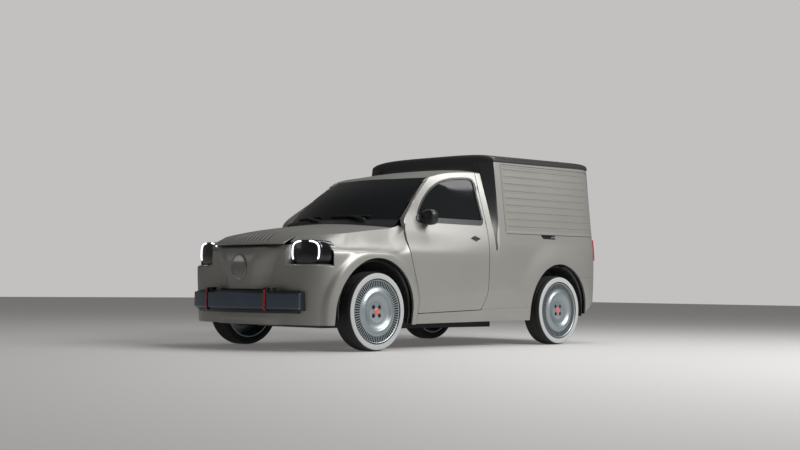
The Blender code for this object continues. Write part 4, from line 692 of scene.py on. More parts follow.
def door_skin(u, v):
    """The body's side over the door's reach, by place and height."""
    return side_skin(-0.80 + 1.10 * u, 0.295 + 1.265 * v)


def door_field(points):
    """Inside the door's outline and outside its window."""
    y, z = points[..., 1], points[..., 2]
    return np.minimum(within(door_outline, y, z), -within(window, y, z))


points, cells = walled(*trimmed(door_skin, door_field, 84, 96), 0.0, (0.045, 0, 0))
both_sides("door_{}_skin", points, cells, body_paint, "door_{}", "door_{}")


def seal_field(points):
    """A band just inside the window's edge, wider along its foot."""
    y, z = points[..., 1], points[..., 2]
    depth = within(window, y, z)
    return np.minimum(depth - 0.0006, np.maximum(0.017 - depth, 1.116 - z))


points, cells = trimmed(door_skin, seal_field, 180, 208)
points, cells = walled(points - (0.001, 0, 0), cells, 0.0, (0.020, 0, 0))
both_sides("window_seal_{}_skin", points, cells, moulding, "door_{}")


def glass_field(points):
    """Inside the window's edge."""
    return within(window, points[..., 1], points[..., 2]) - 0.002


points, cells = trimmed(door_skin, glass_field, 64, 70)
points, cells = walled(points - (0.010, 0, 0), cells, 0.0, (0.005, 0, 0))
both_sides("door_glass_{}_skin", points, cells, glass, "door_{}", "door_glass_{}")

# Sides of the box: one pressed steel panel each side, welded to the floor and the posts, from the door to
# the rear door. The wheel arch, the hatch's opening and a pocket for its handle are cut in it.
wedge = np.array([(cab_end, 0.858), (0.3665, 0.862), (0.372, 0.950), (0.398, 1.100), (0.4065, 1.250),
                  (0.409, 1.500), (0.410, 1.750), (cab_end, 1.750)])
hatch_front, hatch_rear, hatch_low, hatch_high, hatch_rise = 0.500, 1.880, 1.0125, 1.638, 0.012
hatch_line = np.array([(y, z + hatch_rise * (y - hatch_front)) for y, z in (
    (hatch_front, hatch_low), (hatch_rear, hatch_low), (hatch_rear, hatch_high), (hatch_front, hatch_high))])
pocket_line = np.array([(1.012, 1.022), (1.034, 0.990), (1.052, 0.980), (1.230, 0.980), (1.248, 0.990),
                        (1.270, 1.022)])
pocket_centre = (1.141, 1.003)
roof_end = 1.80


def run_behind(x):
    """Run along the plan curve at a place across the van's tail."""
    return np.interp(-x, -plan_x[curve_points:], plan_run[curve_points:])


tail_turn = float(run_behind(0.725))


def eaves(y):
    """Height of the side's upper edge: the cab roof's level, then the box's eaves, which rise rearwards."""
    share = np.clip((y - cab_end) / 0.062, 0, 1)
    return 1.5500 + 0.105 * share + 0.022 * np.maximum(0.0, np.minimum(y, roof_end) - 0.412)


def sill_top(y):
    """Height of the shut line over the sill, which rises to the rear."""
    return 0.302 + 0.033 * (y + 0.668)


def box_side_skin(u, v):
    """The body's side from just ahead of the door's rear edge round to the rear door, by run and height."""
    start = float(run_beside(0.16))
    run = start + (tail_turn - start) * u
    y = np.interp(run, plan_run, plan_y)
    low, high = sill_top(np.minimum(y, rear_axle)) + 0.001, eaves(y) - 0.001
    return skin(run, low + (high - low) * v)


def box_side_field(points):
    """Outside the door, arch, hatch, handle pocket, wedge, bumper and header."""
    x, y, z = np.moveaxis(points, -1, 0)
    door = np.where(y < 0.4, -within(door_outline, y, z) - shut_gap, 1.0)
    ahead = np.where(z < 1.0, 1.0, y - np.interp(z, (1.0, 1.551), (0.262, 0.285)) - shut_gap)
    arch = from_axle(rear_axle, y, z) - arch_radius
    hatch = -within(hatch_line, y, z) - 0.004
    front = -within(wedge, y, z) - 0.002
    bumper = np.maximum(rear_axle - y, z - 0.635)
    pocket = -within(pocket_line, y, z)
    header = np.maximum(x - 0.7105, np.maximum(1.5 - y, 1.585 - z))
    return np.minimum.reduce([door, ahead, arch, hatch, front, bumper, header, pocket])


points, cells = walled(*trimmed(box_side_skin, box_side_field, 150, 112), 0.016)
both_sides("box_side_{}_skin", points, cells, body_paint, "body", "side_{}")


def pocket_skin(u, v):
    """The handle's pocket: from its outline inwards, sunk by a smooth step to a flat floor."""
    ring = np.concatenate([pocket_line, pocket_line[:1]])
    reach = np.concatenate([[0.0], np.cumsum(np.hypot(*np.diff(ring, axis=0).T))])
    y, z = (np.interp(u * reach[-1], reach, ring[:, k]) for k in (0, 1))
    y, z = y + (pocket_centre[0] - y) * 0.96 * v, z + (pocket_centre[1] - z) * 0.96 * v
    point = side_skin(y, z)
    point[..., 0] -= 0.001 + 0.024 * ease(0.0, 0.45, v)
    return point


points, cells = gridded(pocket_skin, 120, 12)
points, cells = walled(points, cells[:, ::-1], 0.0, (0.004, 0, 0))
both_sides("hatch_handle_pocket_{}_skin", points, cells, moulding, "body")

# Side hatches: a pressed steel lid in each side, made to look like a roller blind, hinged along its upper
# edge, with a flat frame round nine grooves.
groove_count = 9
groove_first, groove_last = 1.075, 1.595


def hatch_skin(u, v):
    """The body's side inside the hatch, with grooves pressed in: narrow hollows that end in round noses."""
    y = hatch_front + (hatch_rear - hatch_front) * u
    level = hatch_low + (hatch_high - hatch_low) * v
    point = side_skin(y, level + hatch_rise * (y - hatch_front))
    pitch = (groove_last - groove_first) / (groove_count - 1)
    nearest = groove_first + pitch * np.clip(np.round((level - groove_first) / pitch), 0, groove_count - 1)
    ends = ease(0.528, 0.545, y) * (1 - ease(1.835, 1.852, y))
    groove = 0.0060 * np.exp(-((level - nearest) / 0.0038) ** 2) * ends
    bead = 0.0012 * np.exp(-((level - nearest + 0.0085) / 0.0034) ** 2) * ends
    frame_edge = np.minimum.reduce([y - 0.516, 1.864 - y, level - 1.030, 1.622 - level])
    point[..., 0] -= groove - bead + 0.0022 * ease(-0.003, 0.003, frame_edge)
    return point


columns = np.concatenate([np.linspace(0, 0.045, 10), np.linspace(0.06, 0.94, 22), np.linspace(0.955, 1, 10)])
points, cells = walled(*gridded(hatch_skin, columns, 260), 0.0, (0.014, 0, 0))
both_sides("hatch_{}_skin", points, cells, body_paint, "hatch_{}", "hatch_{}")

# Sills: a rolled steel box section under each door, between the wheel arches, cut to the arches' curve at
# both ends.
sill_start = -0.671


def sill_skin(u, v):
    """The body's side between the arches, from its lower lip up to the shut line."""
    y = sill_start + (rear_axle - 0.30 - sill_start) * u
    top = sill_top(y) - shut_gap * (1 - ease(0.16, 0.18, y))
    foot = 0.213 + 0.012 * (y + 0.7)
    return side_skin(y, foot + (top - foot) * v)


def arches_field(points):
    """Outside both wheel arches."""
    y, z = points[..., 1], points[..., 2]
    return np.minimum(from_axle(front_axle, y, z), from_axle(rear_axle, y, z)) - arch_radius


points, cells = walled(*trimmed(sill_skin, arches_field, 140, 12), 0.0, (0.045, 0, 0))
both_sides("sill_{}_skin", points, cells, body_paint, "body", "sill_{}")

# Roof of the box: one dark moulded cap that rolls down at its front, sides and rear, with a wedge on each
# side that runs down to the waist between cab and box. It is bonded on the sides' upper edges.
roof_paint = painted("roof_paint", (0.020, 0.020, 0.021), roughness=0.42, grain=0.05, coat=0.1, scale=700.0,
                     spread=0.10)
roof_power = 2 / 3.6


def squared(wave, power):
    """A value raised to a power below one with its sign kept, which squares a round form."""
    return np.sign(wave) * np.abs(wave) ** power


def roof_skin(u, v):
    """The cap: a flattened arch at each place along, raised from the cab roof to the box's height, and
    rolled down by a quarter turn at the rear."""
    across = 2 * u - 1
    share = v**1.25
    y = cab_end + (roof_end - cab_end) * np.minimum(1.0, share / 0.80)
    base = eaves(y)
    edge = side_skin(y, base)[..., 0]
    turn = across * math.pi / 2
    x = edge * squared(np.sin(turn), roof_power)
    full = base + 0.088 * np.maximum(0.0, np.cos(turn)) ** roof_power
    low = base + (1.601 - base) * crown_share(x / edge)
    z = low + (full - low) * ease(cab_end, 0.445, y)
    roll = np.clip((share - 0.80) / 0.20, 0, 1) * math.pi / 2
    foot = float(eaves(roof_end))
    tail = skin(run_behind(np.abs(x)), np.full_like(x, foot))
    y = y + (tail[..., 1] - y) * np.sin(roll) ** 0.6
    x = x + (np.sign(x) * np.abs(tail[..., 0]) - x) * (1 - np.cos(roll))
    z = np.where(roll > 0, foot + (z - foot) * np.maximum(0.0, np.cos(roll)) ** 0.5, z)
    return np.stack([x, y, z], axis=-1)


points, cells = walled(*gridded(roof_skin, crowded(100), 72), 0.012)
made("roof_cap", points, cells, roof_paint, "body", "roof")


def wedge_skin(u, v):
    """The body's side between the cab's end and the box's front edge."""
    z = 0.862 + (1.659 - 0.862) * v
    rear = np.interp(z, wedge[1:7, 1], wedge[1:7, 0])
    return side_skin(cab_end + 0.0002 + (rear - cab_end) * u, z)


points, cells = walled(*gridded(wedge_skin, 8, 80), 0.0, (0.036, 0, 0))
both_sides("roof_wedge_{}_skin", points, cells, roof_paint, "body")

# Tail: two plain steel doors hinged at their outer edges, a welded header over them, and a bumper skin
# wrapped round from arch to arch.
bumper_top, tail_door_low, tail_door_high, header_low = 0.634, 0.640, 1.585, 1.591


def tail_door_skin(u, v):
    """The tail's skin over the left rear door, by run and height."""
    first, last = tail_turn + shut_gap, plan_length - shut_gap / 2
    return skin(first + (last - first) * u, tail_door_low + (tail_door_high - tail_door_low) * v)


points, cells = walled(*gridded(tail_door_skin, 60, 30), 0.028)
both_sides("rear_door_{}_skin", points, cells, body_paint, "rear_door_{}", "rear_door_{}")


def tail_bumper_skin(u, v):
    """The tail's skin below the doors, its lower edge rising towards the rear."""
    start = float(run_beside(rear_axle + 0.20))
    run = start + 2 * (plan_length - start) * u
    y = np.interp(np.where(run > plan_length, 2 * plan_length - run, run), plan_run, plan_y)
    low = 0.270 + 0.135 * ease(1.58, 1.93, y)
    return skin(run, low + (bumper_top - low) * v)


def rear_arch_field(points):
    """Outside the rear wheel arches."""
    return from_axle(rear_axle, points[..., 1], points[..., 2]) - arch_radius


points, cells = walled(*trimmed(tail_bumper_skin, rear_arch_field, 200, 26), 0.014)
made("rear_bumper_skin", points, cells, body_paint, "body", "rear_bumper")


def header_skin(u, v):
    """The tail's skin between the rear doors and the roof."""
    first = tail_turn + 0.0004
    high = float(eaves(roof_end)) - 0.0008
    return skin(first + 2 * (plan_length - first) * u, header_low + (high - header_low) * v)


points, cells = walled(*gridded(header_skin, 80, 6), 0.014)
made("rear_header_skin", points, cells, body_paint, "body", "rear_header")

# Headlamps: a gloss black moulded pod each side, set in the fender's seat, with two lit brackets round its
# domed face.
lamp_black = painted("lamp_black", (0.006, 0.006, 0.008), roughness=0.10, coat=0.6, scale=40.0, spread=0.10)
lamp_centre = np.array([0.604, -1.70, 0.787])
lamp_half_width, lamp_half_height = 0.1475, 0.096
lamp_face_y, lamp_back_y, lamp_power = -1.738, -1.585, 2 / 3.2


def lamp_section(angle, scale):
    """A rounded oblong in the lamp's face, by angle and scale: a superellipse of power 3.2."""
    c, s = np.cos(angle), np.sin(angle)
    x = lamp_centre[0] + scale * lamp_half_width * squared(c, lamp_power)
    z = lamp_centre[2] + scale * lamp_half_height * squared(s, lamp_power)
    return x, z


def lamp_sweep(x):
    """How far the lamp's face lies back at a place across, growing as the square from its inner end."""
    return 0.50 * np.maximum(x - 0.455, 0) ** 2


def lamp_skin(u, v):
    """The pod: a domed face out to a rounded rim by v, then the sides running back, the outer one flaring."""
    angle = 2 * math.pi * u
    face = np.clip(v / 0.45, 0, 1)
    edge = np.clip((v - 0.45) / 0.20, 0, 1) * math.pi / 2
    side = np.clip((v - 0.65) / 0.35, 0, 1)
    scale = 0.93 * face + 0.07 * np.sin(edge)
    x, z = lamp_section(angle, scale)
    depth = 0.010 * scale**2 + 0.014 * (1 - np.cos(edge))
    front = lamp_face_y + lamp_sweep(x) + depth
    flare = np.sin(side * math.pi / 2)
    x = x + 0.34 * np.maximum(x - lamp_centre[0], 0) * flare
    z = z + 0.24 * np.minimum(z - lamp_centre[2], 0) * flare
    return np.stack([x, front + (lamp_back_y - front) * side, z], axis=-1)


def carried(path, radius, sides=10):
    """A round section carried along a path, square to it at each point, with its ends drawn to a point."""
    path = np.array(path, float)
    ahead = np.gradient(path, axis=0)
    ahead /= np.linalg.norm(ahead, axis=1)[:, None]
    first = np.cross(ahead, (0.13, 0.19, 0.97))
    first /= np.linalg.norm(first, axis=1)[:, None]
    second = np.cross(ahead, first)
    angle = np.linspace(0, 2 * math.pi, sides, endpoint=False)
    girth = np.full(len(path), float(radius))
    girth[[0, -1]] *= 0.15
    ring = np.cos(angle)[None, :, None] * first[:, None] + np.sin(angle)[None, :, None] * second[:, None]
    points = (path[:, None] + ring * girth[:, None, None]).reshape(-1, 3)
    k = np.arange((len(path) - 1) * sides)
    across_next = (k // sides) * sides + (k + 1) % sides
    quads = np.stack([k, k + sides, across_next + sides, across_next], axis=1).tolist()
    last = (len(path) - 1) * sides
    return points, quads + [list(range(sides)), list(range(last, last + sides))[::-1]]


lamp_lit = painted("lamp_bracket", (0.85, 0.86, 0.88), roughness=0.25, coat=0.3, spread=0.02)
lit = lamp_lit.node_tree.nodes["Principled BSDF"].inputs
lit["Emission Color"].default_value = (0.93, 0.95, 1.0, 1)
lit["Emission Strength"].default_value = 2.2
points, cells = gridded(lamp_skin, 96, 40, close_u=True)
both_sides("headlamp_{}_skin", points, cells[:, ::-1], lamp_black, "body", "headlamp_{}")
for hand, word in ((1, "left"), (-1, "right")):
    for place, (first, last) in enumerate(((98, 212), (82, -32))):
        angle = np.radians(np.linspace(first, last, 40))
        x, z = lamp_section(angle, 0.90)
        y = lamp_face_y + lamp_sweep(x) + 0.006
        points, faces = carried(np.stack([hand * x, y, z], axis=1), 0.0062)
        made(f"lamp_bracket_{word}_{place}", points, faces, lamp_lit, "body")

# Bumper bar: three lengths of brushed steel on a black moulded beam, parted by two black straps that
# each carry a red marker.
steel = painted("satin_steel", (0.13, 0.165, 0.205), roughness=0.22, grain=0.05, metallic=1.0, scale=300.0,
                spread=0.05)
red_lens = painted("red_lens", (0.42, 0.012, 0.012), roughness=0.12, coat=0.6, spread=0.1)
bar_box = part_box("bumper_bar")
bar_low, bar_high = bar_box[0][2], bar_box[1][2]
bar_front, bar_bow = bar_box[0][1], 0.34
bar_half, strap_x = 0.655, 0.361


def bar_length(first, last, low, high, proud, deep, roll):
    """A length of the bar: bowed back as x squared, with its edges rolled round by a quarter turn."""

    def place(u, v):
        x = first + (last - first) * u
        turn = (v - 0.5) * 2
        z = (low + high) / 2 + (high - low) / 2 * squared(turn, 0.8)
        edge = np.maximum(np.abs(z - (low + high) / 2) - ((high - low) / 2 - roll), 0) / roll
        end = np.maximum(roll - np.minimum(x - first, last - x), 0) / roll
        back = roll * (2 - np.sqrt(np.clip(1 - edge**2, 0, 1)) - np.sqrt(np.clip(1 - end**2, 0, 1)))
        return np.stack([x, bar_front + bar_bow * x * x - proud + back, z], axis=-1)

    return walled(*gridded(place, 70, 26), 0.0, (0, -deep, 0))


for word, first, last, stands_for in (
    ("right", -bar_half, -strap_x - 0.014, ["bumper_bar"]),
    ("middle", -strap_x + 0.014, strap_x - 0.014, []),
    ("left", strap_x + 0.014, bar_half, []),
):
    points, cells = bar_length(first, last, bar_low, bar_high, 0.0, 0.012, 0.006)
    made(f"bar_length_{word}", points, cells, steel, "body", *stands_for)
points, cells = bar_length(-bar_half + 0.004, bar_half - 0.004, bar_low - 0.012, bar_high + 0.008, -0.014,
                           0.050, 0.012)
made("bar_beam", points, cells, moulding, "body", "bumper_carrier")
points, cells = bar_length(-0.60, 0.60, bar_low - 0.034, bar_high + 0.016, -0.026, 0.050, 0.016)
made("bar_surround", points, cells, moulding, "body")
for side, word in ((-1, "right"), (1, "left")):
    for name, half, below, over, proud, deep, roll, look in (
        ("bracket", 0.040, 0.010, 0.040, -0.018, 0.050, 0.012, moulding),
        ("strap", 0.0125, 0.018, 0.030, 0.002, 0.030, 0.005, lamp_black),
        ("marker", 0.0075, 0.008, 0.022, 0.006, 0.010, 0.003, red_lens),
    ):
        points, cells = bar_length(side * strap_x - half, side * strap_x + half, bar_low - below,
                                   bar_high + over, proud, deep, roll)
        made(f"bar_{name}_{word}", points, cells, look, "body")

# Nose disc: a plain polished metal disc stuck on the shield, bare, with a raised rim round a shallow dome.
# It stands three millimetres proud.
disc_metal = painted("disc_metal", (0.30, 0.30, 0.29), roughness=0.22, metallic=0.8, coat=0.2, scale=200.0,
                     spread=0.04)
disc_height, disc_half_width, disc_half_height, disc_proud = 0.667, 0.098, 0.108, 0.0030


def disc_skin(u, v):
    """The disc's face, by angle and radius: a bell-shaped ring and a dome that falls as radius squared."""
    angle, radius = 2 * math.pi * u, v
    x = disc_half_width * radius * np.cos(angle)
    z = disc_height + disc_half_height * radius * np.sin(angle)
    rise = 0.004 * np.exp(-((radius - 0.93) / 0.05) ** 2) + 0.003 * (1 - radius**2)
    return np.stack([x, shield_y(x, z) - rise - disc_proud, z], axis=-1)


points, cells = gridded(disc_skin, 72, 24, close_u=True)
made("nose_disc", points, cells, disc_metal, "body")

# Cowl: a black moulded strip with a fine grille, clipped in before the windscreen's foot, with two wipers
# over it. Each wiper is a bent arm that carries a straight blade.


def cowl_skin(u, v):
    """The strip from the bonnet's rear edge to the glass, with fine ribs across it as a sine of the place."""
    x = (2 * u - 1) * 0.665
    front, back = screen_base_y(x) - cowl_depth + 0.004, screen_base_y(x) + 0.006
    y = front + (back - front) * v
    z_front = bonnet_height(x, screen_base_y(x) - cowl_depth) - 0.002
    z = z_front + (1.094 - z_front) * v
    rib = 0.0018 * np.sin(x * 2 * math.pi / 0.016) * ease(0.1, 0.25, v) * (1 - ease(0.75, 0.9, v))
    return np.stack([x, y, z + rib - 0.001], axis=-1)


points, cells = walled(*gridded(cowl_skin, 330, 12), 0.0, (0, 0, 0.006))
made("cowl_grille", points, cells, moulding, "body")


def on_screen(across, up, off):
    """A point over the windscreen: across and up by shares, stood off from the glass."""
    return screen_skin(np.array([(across + 1) / 2]), np.array([up]))[0] + off * screen_out


for order, (foot_at, elbow, blade_first, blade_last) in enumerate((
    ((-0.10, -0.055), (-0.45, 0.045), (-0.78, 0.040), (-0.15, 0.055)),
    ((0.62, -0.045), (0.34, 0.055), (0.02, 0.060), (0.66, 0.040)),
)):
    blade = np.array([on_screen(*(np.array(blade_first) * (1 - t) + np.array(blade_last) * t), 0.010)
                      for t in np.linspace(0, 1, 24)])
    points, faces = carried(blade, 0.0075, 8)
    made(f"wiper_blade_{order}", points, faces, moulding, "body")
    arm = [on_screen(*foot_at, 0.020), on_screen(*(0.6 * np.array(foot_at) + 0.4 * np.array(elbow)), 0.028),
           on_screen(*elbow, 0.016)]
    points, faces = carried(bent(np.linspace(0, 1, 16)[:, None], *arm), 0.0110, 8)
    made(f"wiper_arm_{order}", points, faces, moulding, "body")

# Mirrors: a moulded black head each side on a short bent arm, bolted to a round foot in the window's lower
# front corner.
mirror_centre = np.array([0.815, -0.490, 1.112])


def mirror_skin(u, v):
    """The head: a rounded block, a superellipsoid of power three, by turn and by tilt."""
    turn, tilt = 2 * math.pi * u, math.pi * (v - 0.5)
    c, s, ct, st = np.cos(turn), np.sin(turn), np.cos(tilt), np.sin(tilt)
    power = 2 / 3.0
    x = 0.0710 * squared(c, power) * np.abs(ct) ** power
    y = 0.0540 * squared(s, power) * np.abs(ct) ** power
    z = 0.0660 * squared(st, power)
    return mirror_centre + np.stack([x, y, z], axis=-1)


points, cells = gridded(mirror_skin, 64, 40, close_u=True)
both_sides("mirror_{}_skin", points, cells, moulding, "door_{}", "mirror_{}")
foot_point = side_skin(np.array([-0.545]), np.array([1.096]))[0]
arm = bent(np.linspace(0, 1, 20)[:, None], foot_point + (-0.004, 0, 0), foot_point + (0.05, 0.01, -0.01),
           mirror_centre + (-0.02, 0, -0.03))
points, faces = carried(arm, 0.016, 14)
both_sides("mirror_arm_{}", points, faces, moulding, "door_{}")


def mirror_foot(u, v):
    """A low dome on the door's skin, by angle and radius."""
    angle = 2 * math.pi * u
    y = -0.548 + 0.046 * v * np.cos(angle)
    z = 1.098 + 0.038 * v * np.sin(angle)
    point = side_skin(y, z)
    point[..., 0] += 0.014 * np.sqrt(np.clip(1 - v**2, 0, 1)) - 0.001
    return point


points, cells = gridded(mirror_foot, 40, 10, close_u=True)
both_sides("mirror_foot_{}_skin", points, cells, moulding, "door_{}")

# Door handles: a dark moulded lozenge on each door's skin, with a raised grip across it.
# The latch behind it doesn't show.
handle_y, handle_z = 0.092, 0.951


def handle_skin(u, v):
    """A lozenge a little proud of the door's skin, crossed by a grip raised as a bell."""
    angle = 2 * math.pi * u
    reach = v / (np.abs(np.cos(angle)) / 0.064 + np.abs(np.sin(angle)) / 0.027)
    y, z = handle_y + reach * np.cos(angle), handle_z + reach * np.sin(angle)
    point = side_skin(y, z)
    grip = np.exp(-((z - handle_z) / 0.004) ** 2) * (np.abs(y - handle_y) < 0.058)
    point[..., 0] += 0.0012 + 0.004 * grip
    return point


points, cells = gridded(handle_skin, 80, 16, close_u=True)
both_sides("door_handle_{}_skin", points, cells, moulding, "door_{}")

# Wheel arches: a gloss black moulded lip inside each arch, clipped behind the skin's edge. It goes round
# the arch and down both its legs.


def lip_skin(axle):
    """The lip: carried round the arch and down its legs, from just inside the skin's edge inwards."""

    def place(u, v):
        leg = 0.10 if axle < 0 else 0.035
        turn = np.clip((u - 0.08) / 0.84, 0, 1) * math.pi
        drop = -leg * (np.clip((0.08 - u) / 0.08, 0, 1) + np.clip((u - 0.92) / 0.08, 0, 1))
        radius = arch_radius - 0.001 - 0.020 * v - 0.003 * np.sin(v * 3 * math.pi)
        y, z = axle + radius * np.cos(turn), wheel_radius + radius * np.sin(turn) + drop
        edge_y = axle + arch_radius * np.cos(turn)
        edge_z = wheel_radius + arch_radius * np.sin(turn) + drop
        x = side_skin(edge_y, edge_z)[..., 0] - 0.004 - 0.060 * v
        return np.stack([x, y, z], axis=-1)

    return place


for word, axle in (("front", front_axle), ("rear", rear_axle)):
    points, cells = gridded(lip_skin(axle), 120, 12)
    both_sides(f"arch_lip_{word}_{{}}_skin", points, cells[:, ::-1], lamp_black, "body")

# Tyres and wheels: black rubber with a pale bare band on the outer wall and a grooved tread, on pressed grey
# wheels with a ring of radial slots, a hub disc with four bolt pockets and a red cap. The slots and pockets
# are shallow hollows painted near black as painted shade. Each wheel turns on its knuckle or on the rear
# axle.
tyre_look = masked(painted("tyre_rubber_banded", (0.012, 0.012, 0.012), roughness=0.70, grain=0.4,
                           scale=500.0, spread=0.2), "band", (0.40, 0.41, 0.41), 0.45, 0.0)
# The wheel and hub finishes carry painted shade: near black in the wheel's slots and the hub's bolt pockets,
# through their "slot" masks.
wheel_look = masked(painted("wheel_paint_slotted", (0.30, 0.34, 0.355), roughness=0.40, grain=0.03,
                            metallic=0.8, coat=0.3, scale=300.0, spread=0.05), "slot", (0.0, 0.0, 0.0),
                    1.0, 0.0)
hub_look = masked(painted("hub_paint_pocket_shaded", (0.34, 0.38, 0.40), roughness=0.30, grain=0.03, metallic=0.7, coat=0.3,
                          scale=300.0, spread=0.05), "slot", (0.004, 0.004, 0.005), 0.8, 0.0)
cap_red = painted("cap_red", (0.62, 0.10, 0.085), roughness=0.35, coat=0.4, scale=200.0, spread=0.05)
track_half = 0.785
slot_count = 72
hub_radius, cap_radius = 0.0845, 0.025
tyre_line = np.array([(0.2585, 0.066), (0.2585, 0.079), (0.262, 0.086), (0.266, 0.0915), (0.285, 0.0925),
                      (0.303, 0.0915), (0.3085, 0.088), (0.3135, 0.076), (0.3185, 0.060), (0.3200, 0.045),
                      (0.3200, 0.0)])
tyre_section = smooth_line(tyre_line, 60)
tyre_section = np.concatenate([tyre_section, (tyre_section * (1, -1))[::-1][1:]])
rim_line = np.array([(0.0840, 0.0745), (0.0900, 0.0760), (0.1080, 0.0775), (0.1300, 0.0835), (0.1460, 0.0940),
                     (0.1570, 0.1000), (0.1670, 0.0975), (0.1820, 0.0905), (0.1960, 0.0870), (0.2500, 0.0845),
                     (0.2535, 0.0880), (0.2570, 0.0870), (0.2575, 0.0770)])
rim_section = smooth_line(rim_line, 70)


def turned(profile, side, axle):
    """A profile's radius and offset, turned round the axle of a wheel on one side of the van."""

    def place(u, v):
        angle = 2 * math.pi * u
        radius, offset = profile(angle, v)
        return np.stack([side * (track_half + offset), axle + radius * np.cos(angle),
                         wheel_radius + radius * np.sin(angle)], axis=-1)

    return place


def along(section, v):
    """Radius and offset at a share of a section's points."""
    share = np.linspace(0, 1, len(section))
    return np.interp(v, share, section[:, 0]), np.interp(v, share, section[:, 1])


def slot_share(radius, angle, start):
    """One inside a slot, none between two: a steepened sine of the angle, faded at the slots' ends."""
    wave = ease(start - 0.15, start + 0.15, np.sin(angle * slot_count))
    return wave * ease(0.1975, 0.2010, radius) * (1 - ease(0.2460, 0.2490, radius))


def pocket_share(radius, angle):
    """One inside a bolt pocket, none outside, by the distance to the nearest of four pocket centres."""
    near = angle % (math.pi / 2) - math.pi / 4
    away = np.hypot(radius * np.cos(near) - 0.049, radius * np.sin(near))
    return 1 - ease(0.0160, 0.0185, away)


def tyre_profile(angle, v):
    """The tyre's section, with four round grooves and fine cross cuts sunk in the tread."""
    radius, offset = along(tyre_section, v)
    tread = (radius > 0.3180) & (np.abs(offset) < 0.070)
    grooves = sum(np.exp(-((offset - at) / 0.0035) ** 4) for at in (-0.036, -0.012, 0.012, 0.036))
    cuts = 0.5 * np.exp(-(np.sin(angle * 36 + offset * 60) / 0.35) ** 4) * (np.abs(offset) > 0.018)
    return radius - tread * 0.0065 * np.clip(grooves + cuts, 0, 1), offset


def rim_profile(angle, v):
    """The wheel's face: its section, with radial slots sunk between two circles."""
    radius, offset = along(rim_section, v)
    return radius, offset - 0.006 * slot_share(radius, angle, 0.1)


def hub_profile(angle, v):
    """The hub's disc: nearly flat, with four round bolt pockets sunk in it."""
    radius = hub_radius * v
    return radius, 0.0755 + 0.003 * (1 - v**2) - 0.014 * pocket_share(radius, angle)


def cap_profile(angle, v):
    """The hub's cap: a low half-round dome."""
    return cap_radius * v, 0.0790 + 0.004 * np.sqrt(np.clip(1 - v**2, 0, 1))


for corner, side, axle in (("front_left", 1, front_axle), ("front_right", -1, front_axle),
                           ("rear_left", 1, rear_axle), ("rear_right", -1, rear_axle)):
    for name, profile, columns, rows, look, stands_for in (
        ("tyre_skin", tyre_profile, 192, 58, tyre_look, [f"tyre_{corner}"]),
        ("wheel_face", rim_profile, 432, 30, wheel_look, []),
        ("hub_disc", hub_profile, 144, 24, hub_look, []),
        ("hub_cap", cap_profile, 40, 8, cap_red, []),
    ):
        points, cells = gridded(turned(profile, side, axle), columns, rows, close_u=True)
        piece = made(f"{name}_{corner}", points, cells[:, ::side], look, f"wheel_{corner}", *stands_for)
        radius = np.hypot(points[:, 1] - axle, points[:, 2] - wheel_radius)
        angle = np.arctan2(points[:, 2] - wheel_radius, points[:, 1] - axle)
        # Masks: the tyre's band is its real pale colour. The "slot" masks are painted shade: black over each
        # slot, a little wider than its hollow, black at the rim's outer lip, and black in each bolt pocket.
        if name == "tyre_skin":
            outer = side * points[:, 0] > track_half
            mark(piece, "band", ease(0.2640, 0.2650, radius) * (1 - ease(0.3060, 0.3070, radius)) * outer)
        elif name == "wheel_face":
            mark(piece, "slot", np.maximum(slot_share(radius, angle, -0.2), ease(0.2575, 0.2578, radius)))
        elif name == "hub_disc":
            mark(piece, "slot", pocket_share(radius, angle))

# Seats: foam cushions in woven cloth on a moulded base, with a head restraint on two steel posts. The pads
# are blown up by a cloth simulation, then seamed along two channels. The right seat mirrors the left one.
cloth = painted("seat_cloth", (0.045, 0.045, 0.050), roughness=0.92, grain=0.5, scale=800.0, spread=0.2)
trim = painted("cabin_trim", (0.022, 0.022, 0.024), roughness=0.65, grain=0.4, scale=600.0, spread=0.15)
casting = painted("bare_casting", (0.16, 0.16, 0.165), roughness=0.55, grain=0.5, metallic=0.7, scale=260.0,
                  spread=0.15)
seat_place = 0.36
base_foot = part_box("seat_left")[0][2]
base_top = 0.425


def pad_shape(half, middle, tilt):
    """A squared superellipsoid of power five about its middle, tilted back by an angle about that middle."""

    def place(u, v):
        turn, rise = 2 * math.pi * u, math.pi * (v - 0.5)
        c, s, cr, sr = np.cos(turn), np.sin(turn), np.cos(rise), np.sin(rise)
        power = 2 / 5.0
        x = half[0] * squared(c, power) * np.abs(cr) ** power
        y = half[1] * squared(s, power) * np.abs(cr) ** power
        z = half[2] * squared(sr, power)
        y, z = y * math.cos(tilt) + z * math.sin(tilt), z * math.cos(tilt) - y * math.sin(tilt)
        return np.stack([middle[0] + x, middle[1] + y, middle[2] + z], axis=-1)

    return place


def spots(mesh):
    """A mesh's points as one array."""
    flat = np.empty(len(mesh.vertices) * 3)
    mesh.vertices.foreach_get("co", flat)
    return flat.reshape(-1, 3)


